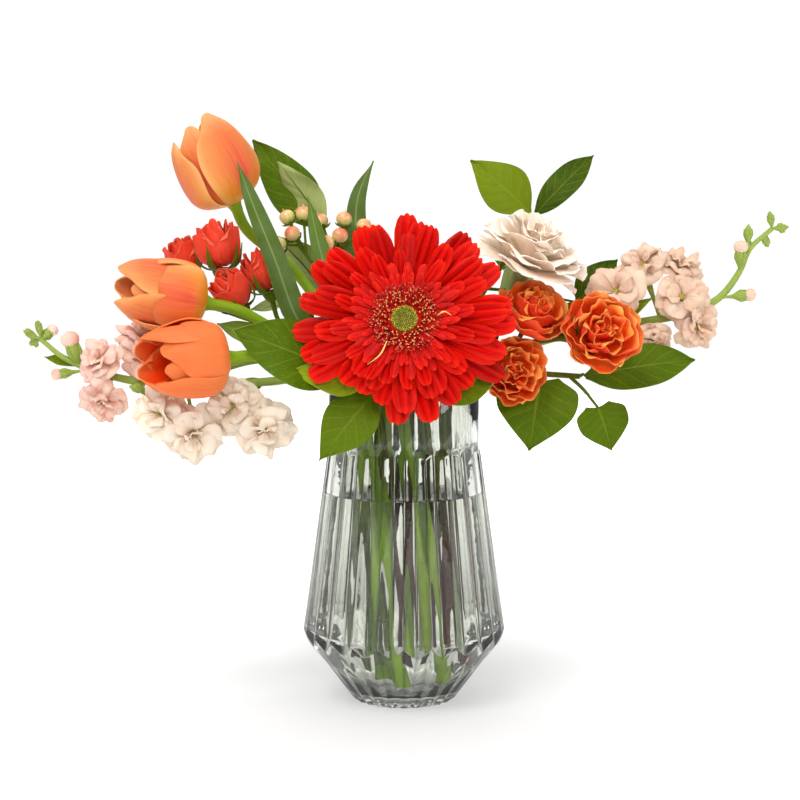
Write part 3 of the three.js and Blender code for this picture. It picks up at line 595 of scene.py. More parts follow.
def knots(greenery, line, radius, heights):
    """Swollen rings round a stem at given heights."""
    for height in heights:
        i = min(range(1, len(line) - 1), key=lambda k: abs(line[k].z - height))
        ahead = (line[i + 1] - line[i - 1]).normalized()
        ends = [line[i] + ahead * along for along in (-2.4, -0.9, 0, 0.9, 2.4)]
        bulge = [radius * 0.9, radius * 1.05, radius * 1.3, radius * 1.05, radius * 0.9]
        greenery.rod(ends, bulge, 10)


# ---------------------------------------------------------------- vase and water

OUTSIDE = (
    # (radius, height) on a ridge and in a valley
    ((VASE_FOOT_RADIUS - 1.5, 0), (VASE_FOOT_RADIUS - 1.5, 0)),
    ((VASE_FOOT_RADIUS + 1.2, 0.2), (VASE_FOOT_RADIUS, 0.3)),
    ((29.6, 2.4), (27.6, 3)),
    ((VASE_SHOULDER_RADIUS, 39), (VASE_SHOULDER_RADIUS - 3, 32)),
    ((42.3, 137), (40.4, 140.5)),
    ((VASE_COLLAR_RADIUS, VASE_COLLAR_FROM), (VASE_COLLAR_RADIUS, VASE_COLLAR_FROM + 0.8)),
    ((VASE_COLLAR_RADIUS, VASE_HEIGHT - 1.2), (VASE_COLLAR_RADIUS, VASE_HEIGHT - 1.2)),
)
INSIDE = (
    # radius, height
    (27.4, 7),
    (51, 39),
    (VASE_COLLAR_INNER, VASE_COLLAR_FROM),
    (VASE_COLLAR_INNER, VASE_HEIGHT - 1),
)
# (radius, height from the top of the vase), then (radius, height) under the foot and inside it
LIP = ((41.0, -0.4), (40.3, -0.05), (39.6, 0), (38.8, -0.15), (38.35, -0.5))
UNDERSIDE = ((0.3, 0.9), (18, 0.7))
INNER_FLOOR = ((20, 6.4), (8, 6.1), (0.3, 6))
SEGMENTS = VASE_FLUTES * 16


def eased_rows(rows, softness):
    """Rows between the given ones, with each corner rounded over a length of softness."""
    made = [rows[0]]
    for before, here, after in zip(rows, rows[1:], rows[2:]):
        back, ahead = before - here, after - here
        near = [softness / max(side.length, softness * 2.2) for side in (back, ahead)]
        made.append(here + back * near[0])
        made.append(here + back * near[0] * 0.3 + ahead * near[1] * 0.3)
        made.append(here + ahead * near[1])
    return [*made, rows[-1]]


def wall_point(angle, radius, height):
    return V(radius * math.cos(angle), radius * math.sin(angle), height)


def flute(k):
    """How near a column of the wall is to a ridge, with both the ridge and the valley rounded."""
    away = abs((k * VASE_FLUTES / SEGMENTS) % 1 * 2 - 1)
    if away < 0.5:
        return math.sqrt(away * away + 0.012)
    return 1 - math.sqrt((1 - away) ** 2 + 0.003)


def vase():
    """One closed turn of columns, each from under the foot over the lip to the inner floor."""
    glass = Bunch()
    lip = [(radius, VASE_HEIGHT + drop) for radius, drop in LIP]
    inner = eased_rows([Vector(row) for row in reversed(INSIDE)], 2.5)
    columns = []
    for k in range(SEGMENTS):
        angle, away = 2 * math.pi * k / SEGMENTS, flute(k)
        rows = []
        for ridge, valley in OUTSIDE:
            rows.append(Vector([mix(low, high, away) for low, high in zip(valley, ridge)]))
        profile = [*UNDERSIDE, *eased_rows(rows, 0.7), *lip, *inner, *INNER_FLOOR]
        columns.append([wall_point(angle, *row) for row in profile])
    glass.loft([list(ring) for ring in zip(*columns)])
    finish = Finish("pressed_glass", Transmission_Weight=1, IOR=1.5, Roughness=0)
    across, _ = finish.map_place()
    # Painted shade: thick marks narrow lines along each ridge and each valley of the flutes. There
    # the glass colour is darkened to paint the dark lines that the glass shows. It is not the
    # thickness of the glass.
    edge = (across * VASE_FLUTES).zigzag(0.5)
    thick = ((1 - edge * 9).clipped() + (edge * 9 - 3.5).clipped()).clipped()
    finish.colour(finish.blend(thick * 0.8, (0.76, 0.775, 0.73, 1), (0.4, 0.43, 0.38, 1)))
    finish.bump(finish.cloud(finish.object_place(), 110), 0.25, 0.35)
    finish.lets_light_through(0.78)
    obj = piece("vase_glass", glass, finish.material, "vase_glass", "vase")
    select_only(obj)
    bpy.ops.object.shade_smooth()


def water():
    """The water is a little wider than the inside of the vase, so that no air shows between."""
    body = Bunch()
    _, (shoulder_radius, shoulder), (neck_radius, neck), _ = INSIDE
    level = mix(neck_radius, shoulder_radius, (neck - WATER_LEVEL) / (neck - shoulder))
    bottom = [(0.3, 5.8), (20, 6.2), (26, 6.5), (27.9, 7.6)]
    side = [(mix(27.6, 51.2, t), mix(7.2, 39, t)) for t in (0.3, 0.6, 0.93)]
    bend = [(51.0, 41.5), (50.4, 44)]
    # The surface is raised where it meets the glass.
    surface = [(level + 0.6, -3), (level + 0.2, 1.1), (level - 1, 0.35), (level - 2.6, 0),
               (12, -0.2), (0.3, -0.2)]
    top = [(radius, WATER_LEVEL + rise) for radius, rise in surface]
    body.turning([*bottom, *side, *bend, *top], 96)
    finish = Finish("water", Transmission_Weight=1, IOR=1.33, Roughness=0,
                    Base_Color=(0.96, 0.965, 0.945, 1))
    finish.lets_light_through(0.95)
    piece("water_body", body, finish.material, "water", "water")


# ---------------------------------------------------------------- gerbera

GERBERA = head_frame(V(0, -62, 212), V(0, -0.956, 0.292))


def gerbera_floret(draws, reach, width, height, slope, curl, tip):
    """A strap of a ray floret: two furrows run its length, and its tip is blunt and notched."""
    reach += draws.uniform(-2.4, 1.4)
    curl += draws.uniform(-1.6, 1.6)
    lean, phase = draws.uniform(-0.3, 0.3), draws.uniform(-0.3, 0.3)
    sway, deep = draws.uniform(-2.4, 2.4), draws.uniform(0.07, 0.13)
    widths = (0.25, 0.5, 0.7, 0.85, 0.95, 1, 1.02, 0.98, 0.74)

    def surface(u, v):
        along = mix(6, reach, u) - tip * v * v * u**6 + 0.5 * math.cos(9.4 * v) * u**10
        half = width / 2 * ease(widths, u)
        groove = deep * width * math.cos(3 * math.pi * v + phase) * step(0, 0.3, u)
        groove *= 1 - 0.5 * u**6
        rise = height + slope * (along - 7) + curl * u * u - 0.08 * width * v * v * step(0, 0.4, u)
        twist = lean * v * half * step(0.1, 0.8, u)
        return V(along, v * half + sway * u * u, rise + groove + twist)

    return surface


def gerbera_reach(angle):
    """The rays low on the left and on the right are shorter than the rest."""
    angle %= 360
    left = math.exp(-(((angle - 240) / 24) ** 4))
    right = math.exp(-(((angle - 305) / 20) ** 4))
    return 1 - 0.24 * left - 0.16 * right


def gerbera():
    """Five rings of broad ray florets, and four of narrow ones over their roots."""
    draws = random.Random(12)
    rays = Bunch()
    rings = (
        # count, turn, reach, width, height, slope
        (12, 0, GERBERA_RADIUS, 13, -5.2, 0.01),
        (12, 0.5, GERBERA_RADIUS - 1.5, 13, -3.6, 0.02),
        (11, 0.25, 52, 12, -1.9, 0.03),
        (11, 0.75, 47, 10.5, -0.6, 0.04),
        (14, 0.4, 37, 7, 0.4, 0.07),
        (18, 0.1, 31, 4.6, 0.9, 0.1),
        (24, 0.6, 28, 3.4, 1.1, 0.13),
        (28, 0.3, 25, 2.8, 1.3, 0.17),
        (32, 0.8, 22, 2.4, 1.4, 0.22),
    )
    for ring, (count, turn, reach, width, height, slope) in enumerate(rings):
        grid = (16, 12) if ring < 5 else (8, 4)
        for k in range(count):
            angle = (k + turn) / count * 360 + draws.uniform(-4, 4)
            curl = (-2.6 if math.sin(math.radians(angle)) < -0.4 else 0) * reach / GERBERA_RADIUS
            long = min(reach * gerbera_reach(angle), reach) if reach > 40 else reach
            surface = gerbera_floret(draws, long, width, height, slope, curl, width / 6)
            rays.sheet(surface, *grid, draws.random(), turned(angle))
    rays.turning([(0, -6), (8, -6), (9.5, -3), (9.5, 1.5), (7, 2.6), (0, 2.6)], 24, 0.2)
    # The furrows of the rays get painted shade in the deep red shade colour.
    red = petal_finish("gerbera_red", "900200", "DE0A02", "F6260A", back="C80C02", streaks=0.6,
                       glow=0.06, furrows=1.5, shade="860000", vary=1, gloss=0.14)
    obj = piece("gerbera_ray_florets_fine", rays, red, "gerbera_red", "gerbera_ray_florets")
    place_head(obj, GERBERA)
    gerbera_heart(draws)
    gerbera_green()


def place_head(obj, place):
    """Moves a mesh that was made about its own axis to its place on its stem."""
    shift = place.copy()
    shift.translation *= MM
    obj.data.transform(shift)


def gerbera_heart(draws):
    """The short tube florets in a spiral, most of them feathered, and the olive eye."""
    tubes = Bunch()
    count = 380
    for k in range(count):
        share = k / count
        radius = mix(6.6, 17.2, math.sqrt(share)) + draws.uniform(-0.6, 0.6)
        angle = k * GOLDEN_ANGLE + draws.uniform(-6, 6)
        lean = mix(0.2, 1.4, share) + draws.uniform(-0.3, 0.5)
        rise = mix(4.6, 5.2, share) + draws.uniform(-1.0, 0.9)
        foot, top = V(radius - 0.8, 0, 2), V(radius + lean, draws.uniform(-0.8, 0.8), rise)
        line = smooth_path([foot, V(radius, 0, 3.6), top], 1.2)
        tubes.rod(line, [0.5, 0.4, 0.5, 0.42], 5, draws.uniform(0, 0.6), turned(angle))
        for side in (-1, 1):
            if draws.random() < 0.25:
                continue
            end = top + V(draws.uniform(0, 0.8), side * 0.4, draws.uniform(0.2, 0.7))
            pale = min(1, mix(1.25, 0.5, share) + draws.uniform(-0.25, 0.15))
            feather = [top - V(0, 0, 0.3), top.lerp(end, 0.6), end]
            tubes.rod(feather, [0.24, 0.22, 0.12], 4, pale, turned(angle))
    for angle, near, far in ((-126, 15, 31), (4, 17, 24)):
        strand = [V(near, 0, 4.6), V(mix(near, far, 0.5), 1.6, 6), V(far, -0.6, 5.4)]
        tubes.rod(smooth_path(strand, 1.5), [0.3, 0.45, 0.3, 0.1], 5, 1, turned(angle))
    red = Finish("gerbera_tubes", Roughness=0.5)
    red.colour(red.ramp(red.reading("tone"), (0, "8A0A04"), (0.45, "C81A0C"), (0.66, "E8523A"),
                        (0.85, "F0A078"), (1, "F2CC70")))
    obj = piece("gerbera_tube_florets", tubes, red.material, "gerbera_red", "gerbera_ray_florets")
    place_head(obj, GERBERA)

    eye = Bunch()
    eye.turning([(7, 2.8), (6.9, 3.4), (6.2, 4.4), (4.2, 4.8), (2, 4.5), (0, 4.3)], 24, 0.25)
    bud = [(0.5, -0.5), (0.52, 0.1), (0.34, 0.55), (0, 0.7)]
    for k in range(150):
        radius = 6.7 * math.sqrt((k + 0.5) / 150)
        height = 4.3 + 0.6 * math.sin(radius * 0.36) - (0.5 if radius > 6.2 else 0)
        where = Matrix.Translation(polar(radius, k * GOLDEN_ANGLE, height))
        eye.turning(bud, 5, draws.uniform(0.2, 0.75) + 0.3 * (radius > 5.4), where)
    olive = Finish("gerbera_eye", Roughness=0.65)
    olive.colour(olive.ramp(olive.reading("tone"), (0, "4E4408"), (0.35, "807C14"),
                            (0.8, "AEA426"), (1, "D8B83C")))
    obj = piece("gerbera_disc_fine", eye, olive.material, "gerbera_eye", "gerbera_disc")
    place_head(obj, GERBERA)


def gerbera_green():
    """The stem, the cup behind the head and two tiers of bracts on it."""
    back, behind = GERBERA @ V(0, 0, -6.3), GERBERA @ V(0, 0, -24)
    line = stem_path(-92, V(-1, -31, 188), behind, back, foot=14)
    green = Bunch()
    green.rod(line, [3.2, 3.1, 3.1, 3.3, 3.4], 14)
    cup = [(0, -17), (3.3, -16.5), (5.4, -12.5), (8.2, -9.5), (10.2, -7.2), (8.6, -6.3), (0, -6.2)]
    green.turning(cup, 28, 0.4, GERBERA)
    bracts = 34
    for k in range(bracts):
        tier = k % 2
        tip = V(12.2 - tier * 1.5, 0, -5.2 - tier * 1.8)
        shape = smooth_path([V(6.6 - tier, 0, -12 - tier), V(10.2 - tier, 0, -8.6 - tier), tip], 2)
        green.rod(shape, [0.9, 1.05, 0.5, 0.1], 5, 0.6, GERBERA @ turned(k * 360 / bracts))
    finish = stem_finish("gerbera_green", "84A004", "7A9A20", "506C04")
    piece("gerbera_stem_fine", green, finish, "gerbera_green", "gerbera_stem")


# ---------------------------------------------------------------- tulips

TULIP_BULGE = (0.2, 0.7, 0.93, 1.0, 1.0, 0.95, 0.86, 0.72, 0.5)
TULIP_CLIMB = (0.0, 0.07, 0.18, 0.32, 0.47, 0.62, 0.76, 0.89, 1)
TULIP_SPREAD = (1, 1, 1, 1.02, 1.04, 1.04, 0.98, 0.84, 0.55)


def tulip_petal(draws, length, radius, shell, half, tall, lean):
    """A cupped petal with a full round tip. tall is its share of the bloom's length, and lean is
    how far its tip stands out."""
    phase, sway = draws.uniform(0, 6), draws.uniform(-0.06, 0.06)

    def surface(u, v):
        angle = math.radians(half) * (ease(TULIP_SPREAD, u) * v + sway * u)
        belly = ease(TULIP_BULGE, u) * radius * shell - (1 - shell) * 12 * (1 - u) + lean * u * u
        crease = -0.5 * math.exp(-((v * 7) ** 2)) * step(0.1, 0.5, u)
        edge = 0.9 * abs(v) ** 4 * math.sin(u * 9 + phase) + 0.02 * radius * abs(v) ** 5 * u
        fall = (0.04 * v * v + 0.15 * abs(v) ** 3 * u**3) * length * u
        reach = belly + crease + edge
        height = ease(TULIP_CLIMB, u) * length * tall - fall
        return V(reach * math.cos(angle), reach * math.sin(angle), height)

    return surface


def tulip(name, base, tip, turn, seed, line_above, slot, straps, finishes, outer, inner,
          radius=TULIP_RADIUS, wide=60):
    """A bloom from base to tip, its pistil and stamens, and its stem with strap leaves."""
    draws = random.Random(seed)
    axis = (tip - base).normalized()
    length = (tip - base).length
    place = head_frame(base, axis, turn)
    cup = Bunch()
    for k, shapes in enumerate(zip(inner, outer)):
        for shell, offset, (tall, lean) in zip((0.92, 1), (60, 0), shapes):
            petal = tulip_petal(draws, length, radius, shell, wide, tall, lean)
            cup.sheet(petal, 24, 18, draws.random(), place @ turned(k * 120 + offset))
    cup.turning([(0, 0), (4.4, 0.1), (6.2, 2.6), (4, 4), (0, 4.4)], 20, 0.5, place)
    piece(f"{name}_petals_fine", cup, finishes[0], "tulip_orange", f"{name}_petals", wall=0.7)
    pistil = Bunch()
    pistil.rod([place @ V(0, 0, z) for z in (3, 9, 15, 19)], [2, 1.9, 1.8, 2.2], 6, 0.8)
    stamen = [V(2, 0, 3), V(3.4, 0, 10), V(5.2, 0, 17)]
    for k in range(6):
        pistil.rod(stamen, [0.5, 0.5, 0.9, 0.6], 5, 0.1, place @ turned(k * 60))
    piece(f"{name}_heart", pistil, finishes[2], "tulip_green", f"{name}_petals")
    angle, inside, foot = slot
    top = (base - axis * 16, base - axis * 1)
    line = stem_path(angle, *line_above, *top, inner=inside, foot=foot)
    green = Bunch()
    green.rod(line, [3.1, 3.1, 3.0, 2.9, 3.1], 14)
    green.rod([base - axis * 5, base - axis * 2, base - axis * 0.2], [3.2, 3.6, 4.4], 14)
    for points, width, facing, tone in straps:
        strap(green, points, width, facing, tone)
    piece(f"{name}_stem_fine", green, finishes[1], "tulip_green", f"{name}_stem", wall=0.8)


def tulips():
    satin = dict(streaks=0.25, rise=0.42, hem=0.7, vary=0)
    peach = petal_finish("tulip_peach", "F0A800", "E28844", "F4B472", flame="DC4A3C", **satin)
    orange = petal_finish("tulip_orange", "EEA008", "E28040", "F2AC6A", flame="D84434", **satin)
    ember = petal_finish("tulip_ember", "E89A10", "FF4600", "F29450", flame="FF3400",
                         back="EA7A40", **satin)
    green = strap_finish()
    heart = Finish("tulip_heart", Roughness=0.6)
    heart.colour(heart.ramp(heart.reading("tone"), (0, "3A2A12"), (0.6, "B9B04A"), (1, "D8D07A")))
    tulip(
        "tulip_top", V(-94, 14, 274), V(-116, 8, 321), turn=28, seed=31, slot=(165, True, 15),
        line_above=(V(-22, 3, 186), V(-43, 8, 214), V(-64, 18, 240)),
        straps=(
            ((V(-20, 2, 182), V(-34, -4, 214), V(-45, -7, 246), V(-52, -6, 277)),
             12, V(0.2, -1, 0.3), 0.75),
            ((V(-15, 4, 172), V(-19, 7, 200), V(-25, 14, 240), V(-26, 20, 276), V(-17, 24, 298)),
             14, V(0.1, -1, 0.2), 0.3),
        ), finishes=(peach, green, heart.material), radius=21, wide=55,
        outer=((0.97, 1.5), (0.9, 0), (0.84, 5)), inner=((0.9, 0), (0.86, 2), (0.92, 1.5)),
    )
    tulip(
        "tulip_middle", V(-105, -30, 220), V(-153, -38, 230), turn=0, seed=32,
        slot=(-152, True, 13), line_above=(V(-24, -12, 182), V(-48, -16, 196), V(-72, -21, 207)),
        straps=(
            ((V(-40, -14, 190), V(-57, -15, 210), V(-69, -17, 242), V(-82, -18, 275),
              V(-89, -18, 295)), 13, V(0.3, -1, 0.2), 0.35),
            ((V(-38, -16, 190), V(-58, -19, 193), V(-84, -23, 203), V(-100, -24, 209)),
             16, V(0, -1, 0.5), 0.95),
        ), finishes=(orange, green, heart.material),
        outer=((0.8, -0.6), (0.9, -0.8), (0.92, 1)), inner=((0.98, 1.8), (0.98, 2), (0.95, 1)),
    )
    tulip(
        "tulip_low", V(-92, -50, 192), V(-136, -66, 190), turn=35, seed=33,
        slot=(-147, False, 12.5), line_above=(V(-32, -22, 178), V(-50, -35, 184)), straps=(),
        finishes=(ember, green, heart.material),
        outer=((0.78, 0.4), (0.98, 4), (0.86, 2)), inner=((0.97, 3.5), (0.97, 3), (0.74, 0)),
    )


def strap_finish():
    """Tulip green: fine ribs run the whole length of the leaf, over a blue-grey bloom."""
    finish = skin("tulip_green", 0.1, 0.2, (0.5, 1, 0.3))
    across, along = finish.map_place()
    tone = finish.reading("tone")
    ribs = finish.cloud(finish.point(across * 46, along * 1.2, tone * 9), 1)
    bloom = finish.cloud(finish.object_place(), 70, 3)
    green = finish.ramp(tone, (0.2, "506420"), (0.42, "566A22"), (0.5, "88AA14"),
                        (0.8, "546A1E"), (1, "7E9A0C"))
    leafy = (abs(tone - 0.5) * 8).clipped()
    green = finish.blend((bloom - 0.35) * leafy * 0.6, green, "86A478")
    green = finish.blend(((ribs - 0.4) * 2).clipped() * 0.45, green, "3F6E2A")
    midline = (1 - abs(across - 0.5) * 16).clipped()
    finish.colour(finish.blend(midline * leafy * 0.5, green, "A6B878"))
    finish.roughness(0.42 + bloom * 0.2)
    finish.bump(ribs, 0.3, 0.5)
    return finish.material


# ---------------------------------------------------------------- roses


def wrapped_petal(draws, profile, half, ruffle, waves=(3.2, 5.2), point=0.14, teeth=0, lean=0.1,
                  crumple=0, crisp=0, spread=(0.4, 0.72, 0.92, 1, 1, 0.93, 0.7)):
    """A petal wrapped round the axis. Its profile is (radius, height) stations from root to rim,
    its waves stand out from that profile, and its rim is rounded, pointed or toothed."""
    phase, waves = draws.uniform(0, 6), draws.uniform(*waves)
    grow = draws.uniform(0.95, 1.04)
    sway, tilt = draws.uniform(-0.1, 0.1), draws.uniform(-lean, lean)
    fold = draws.uniform(0, 90)
    radii, heights = [r * grow for r, _ in profile], [z * grow for _, z in profile]
    reach = math.hypot(radii[-1] - radii[0], heights[-1] - heights[0])

    def surface(u, v):
        notch = teeth * (abs((v * 8 + phase) % 1 - 0.5) * 2) * u**8
        back = u - (point * v * v + 0.1 * v**6) * u * u - notch / reach
        out, rise = ease(radii, back), ease(heights, back)
        ahead_out = ease(radii, back + 0.02) - ease(radii, back - 0.02)
        ahead_rise = ease(heights, back + 0.02) - ease(heights, back - 0.02)
        size = math.hypot(ahead_out, ahead_rise) or 1
        frill = ruffle * u * u * math.sin(waves * v + phase)
        frill += 0.4 * ruffle * u**3 * math.sin(waves * 2.4 * v + phase * 2)
        frill += tilt * v * reach * u * 0.5
        frill += crumple * u * noise.noise(V(u * 2 + fold, v * 2, fold))
        frill += crumple * crisp * u * noise.noise(V(u * 6, v * 6 + fold, fold))
        out += frill * ahead_rise / size
        rise -= frill * ahead_out / size
        angle = math.radians(half) * (ease(spread, u) * v + sway * u)
        return V(out * math.cos(angle), out * math.sin(angle), rise)

    return surface


def tier_of(bunch, place, draws, count, profile, half, ruffle, size=1, loose=0, grid=(14, 14),
            **form):
    """A ring of wrapped petals, each turned and raised a little at random."""
    start = draws.uniform(0, 90)
    shape = [(r * size, z * size) for r, z in profile]
    for k in range(count):
        surface = wrapped_petal(draws, shape, half, ruffle * size, **form)
        lift = Matrix.Rotation(math.radians(draws.uniform(-0.7 * loose, loose)), 4, "Y")
        where = place @ turned((k + draws.uniform(-0.14, 0.14)) * 360 / count + start) @ lift
        bunch.sheet(surface, *grid, draws.random(), where)


def sepals(green, place, size, spread):
    """Five pointed sepals round a small cup, below the petals."""
    cup = [(0, -7), (2.4, -6.6), (3.9, -4), (4.5, -2), (4.3, -0.3), (0, -0.2)]
    green.turning([(r * size, z) for r, z in cup], 18, 0.3, place)

    def surface(u, v):
        half = ease((1.9, 2.2, 1.7, 0.9, 0.1), u) * size
        out = ease((4.0, 7.6, 9.9, 10.9, 11.6), u) * mix(1, spread, min(u * 2, 1)) * size
        height = mix(-1.6, 12, u * u * (1.4 - 0.4 * u)) * size
        return V(out - 0.25 * half * v * v, v * half, height)

    for k in range(5):
        green.sheet(surface, 10, 4, 0.35, place @ turned(k * 72 + 20))


RED_ROSES = (
    # base, axis, size, turn, where its branch leaves the stem
    (V(-119, 10, 236), V(-0.3, -0.1, 0.93), 0.8, 25, V(-97, 5, 214)),
    (V(-100, -4, 239), V(-0.05, -0.05, 1), 1.04, 50, V(-97, 5, 214)),
    (V(-88, -14.6, 218.6), V(-0.46, -0.42, 0.78), 0.92, 75, V(-80, 9, 209)),
    (V(-74, 1, 226.5), V(-0.28, -0.05, 0.95), 0.96, 100, V(-64, 12, 205)),
)
ORANGE_ROSES = (
    (V(66, -24, 209), V(0.35, -0.62, 0.68), 1.02, 125, V(54, -17, 195)),
    (V(100, -39, 203), V(0.22, -0.93, 0.25), 1.08, 150, V(84, -21, 200)),
    (V(55, -28, 184), V(0.3, -0.93, 0.08), 0.96, 175, V(36, -19, 185)),
)
RED_TIERS = (
    # count, (radius, height) from root to rim, half angle, ruffle, point
    (2, ((3.8, 0.3), (9.6, 3), (12, 8), (12.3, 13.6), (13, 18)), 58, 0.9, 0.2),
    (3, ((3.6, 0.6), (8.8, 4), (11.2, 10), (10.9, 16), (10.6, 21.4)), 64, 0.9, 0.17),
    (3, ((3, 1.2), (7.4, 5), (9.2, 11), (8.4, 17.5), (7.2, 23.2)), 68, 0.8, 0.15),
    (3, ((2.4, 2), (5.6, 6), (6.6, 12), (5.4, 19), (4, 24.6)), 74, 0.5, 0.14),
    (2, ((1.4, 3), (3, 8), (3.4, 14), (2.4, 20), (1.4, 24.8)), 95, 0.2, 0.12),
)
ORANGE_TIERS = (
    (5, ((3.6, 0.3), (10.5, 1.4), (15.6, 4.4), (18.2, 8.2), (19.4, 11.6)), 50, 1.3, 0.1),
    (5, ((3.4, 0.8), (9.6, 2.6), (13.8, 7), (15.4, 11.6), (16.4, 15.4)), 50, 1.7, 0.1),
    (4, ((3, 1.6), (7.6, 4.6), (10.6, 10), (11.4, 14.6), (12.4, 18)), 58, 1.9, 0.1),
    (4, ((2.4, 3.4), (5.4, 7), (7.4, 12), (7.7, 15.6), (8.2, 18.8)), 58, 1.7, 0.1),
    (3, ((1.6, 6), (3.4, 9.6), (4.6, 13), (4.5, 16), (4.8, 18.8)), 68, 1.3, 0.1),
    (2, ((0.6, 8), (1.5, 11), (2, 13.6), (2, 16), (2.1, 18)), 90, 0.6, 0.1),
)


def rose_blooms(colour, heads, tiers, core, seed, petals, wall, **form):
    """The blooms of a spray, each of the same tiers round a closed core, as wide and as tall as
    core says."""
    for index, (base, axis, size, turn, _) in enumerate(heads):
        draws = random.Random(seed + index)
        bloom = Bunch()
        place = head_frame(base, axis, turn)
        for count, profile, half, ruffle, point in tiers:
            tier_of(bloom, place, draws, count, profile, half, ruffle, size, point=point, **form)
        middle = [(0, 0.2), (4 * size, 0.3), (core[0] * size, 3), (0, core[1])]
        bloom.turning(middle, 14, 0.4, place)
        name = f"{colour}_rose_{index + 1}"
        piece(f"{name}_fine", bloom, petals, f"rose_{colour}", name, wall=wall)


def rose_stem(name, line, radius, heads, leaves, finishes, spread):
    """The main stem of a spray, a branch into the back of each head, sepals and leaves."""
    green, leafy = Bunch(), Bunch()
    green.rod(line, [radius, radius, radius * 0.9, radius * 0.7], 10)
    knots(green, line, radius, (52, 96, 140))
    for base, axis, size, _, root in heads:
        back = axis.normalized()
        branch = smooth_path([nearest(line, root), base - back * 17, base - back * 6], 2)
        green.rod(branch, [1.3, 1.2, 1.5], 8)
        sepals(green, head_frame(base, axis, 12), size, spread)
    for base, tip, width in leaves:
        leaf(leafy, nearest(line, base), base, tip, width, tone=0.25)
    piece(f"{name}_fine", green, finishes[0], "rose_green", name)
    piece(f"{name}_leaves", leafy, finishes[1], "rose_green", name)


def red_roses(stem_green, leaf_green):
    coral = petal_finish("rose_coral", "D89430", "F0412A", "F87A5E", flame="E42C1C", back="F0482F",
                         streaks=0.3, glow=0.3, vary=0.5, shade="C81810", gloss=0.1, rise=0.2)
    rose_blooms("red", RED_ROSES, RED_TIERS, (5, 6), 90, coral, 0.3,
                spread=(0.6, 0.9, 1, 1, 0.97, 0.86, 0.52))
    line = stem_path(112, V(-15, 18, 184), V(-40, 18, 196), V(-62, 13, 205), V(-82, 9, 209),
                     V(-99, 4, 215), inner=True, foot=30)
    leaves = ((V(-50, 21, 204), V(-72, 32, 222), 15), (V(-66, 16, 203), V(-92, 24, 197), 16))
    finishes = (stem_green, leaf_green)
    rose_stem("red_rose_spray_stem", line, 2, RED_ROSES, leaves, finishes, 1.16)


def orange_roses(stem_green, leaf_green):
    flame = petal_finish("rose_orange", "FF520A", "FF6418", "FFB858", flame="FF4A16",
                         back="F23C26", streaks=0.2, glow=0.3, vary=0.7, shade="F0401A", rise=0.3,
                         hem=0.7, gloss=0.12)
    rose_blooms("orange", ORANGE_ROSES, ORANGE_TIERS, (6, 8), 60, flame, 0.24, crumple=1.8,
                lean=0.2, loose=3)
    line = stem_path(-38, V(27, -18, 175), V(38, -19, 187), V(58, -16, 196), V(78, -19, 200),
                     V(88, -24, 201), foot=26)
    leaves = ((V(44, -18, 192), V(43, -24, 224), 15), (V(84, -14, 201), V(96, -4, 222), 16))
    finishes = (stem_green, leaf_green)
    rose_stem("orange_rose_spray_stem", line, 2.1, ORANGE_ROSES, leaves, finishes, 1)


# ---------------------------------------------------------------- carnation

CARNATION = head_frame(V(65, -14, 238), V(0.42, -0.27, 0.87).normalized(), 10)


def carnation(stem_green):
    """Seven tiers of toothed petals, from flat at the outside to upright in the middle."""
    draws = random.Random(77)
    ruffles = Bunch()
    wide = CARNATION_RADIUS
    tiers = (
        # count, (radius, height) from root to rim, half angle, ruffle, crumple
        (5, ((3, 0.3), (11, 2.2), (20, 4), (27, 4.8), (wide - 0.8, 4)), 50, 1.5, 1.6),
        (5, ((3, 0.6), (10.4, 3.8), (18.6, 8), (25.6, 11), (wide - 2.6, 11.4)), 50, 1.8, 2),
        (5, ((3, 1), (9, 7), (15.6, 13), (21.6, 16.8), (26.4, 17.6)), 50, 2.1, 2.2),
        (5, ((2.6, 2), (7.4, 10), (12, 16.6), (16.4, 21), (20.4, 22.2)), 52, 2.3, 2.2),
        (5, ((2, 4), (5.4, 12.4), (8.4, 19), (11.2, 23.4), (14.6, 25.4)), 50, 2.2, 2),
        (5, ((1.4, 7), (3.2, 14.6), (5, 20.6), (6.6, 24.8), (9, 27.2)), 54, 1.8, 1.6),
        (3, ((0.8, 10), (1.4, 16), (2, 21), (2.6, 25), (3.6, 28)), 74, 1.2, 1),
    )
    for count, profile, half, ruffle, crumple in tiers:
        tier_of(ruffles, CARNATION, draws, count, profile, half, ruffle, point=0.04, teeth=0.8,
                crisp=0.3, lean=0.14, grid=(20, 38), waves=(3, 5.6), crumple=crumple, loose=9,
                spread=(0.35, 0.6, 0.84, 0.98, 1, 1, 0.94))
    ruffles.turning([(0, 0.2), (4, 0.3), (5.5, 3), (7, 10), (0, 14)], 16, 0.4, CARNATION)
    cream = petal_finish("carnation_cream", "FFCCA2", "FFEEDA", "FFF8EC", flame="FFE2CA",
                         streaks=0.03, grain=0.08, vary=0.3, shade="FFDABC", gloss=0.1)
    piece("carnation_petals_fine", ruffles, cream, "carnation_cream", "carnation_petals",
          wall=0.22)
    line = stem_path(-15, V(22, -4, 184), V(40, -7, 208), CARNATION @ V(0, 0, -20),
                     CARNATION @ V(0, 0, -6), inner=True, foot=22)
    green = Bunch()
    green.rod(line, [1.9, 1.9, 1.8, 1.9], 10)
    knots(green, line, 1.9, (60, 120, 214))
    cup = [(0, -20), (2.2, -19.5), (3.6, -17), (4.3, -12), (4.5, -6), (4.8, -1.5), (4.3, -0.3)]
    green.turning([*cup, (0, -0.3)], 20, 0.6, CARNATION)
    tooth = [V(4.6, 0, -2), V(5.4, 0, 0.4), V(6.6, 0, 2.4)]
    for k in range(5):
        green.rod(tooth, [1.6, 1.0, 0.1], 5, 0.6, CARNATION @ turned(k * 72))
    piece("carnation_stem_fine", green, stem_green, "carnation_green", "carnation_stem")


# ---------------------------------------------------------------- stock

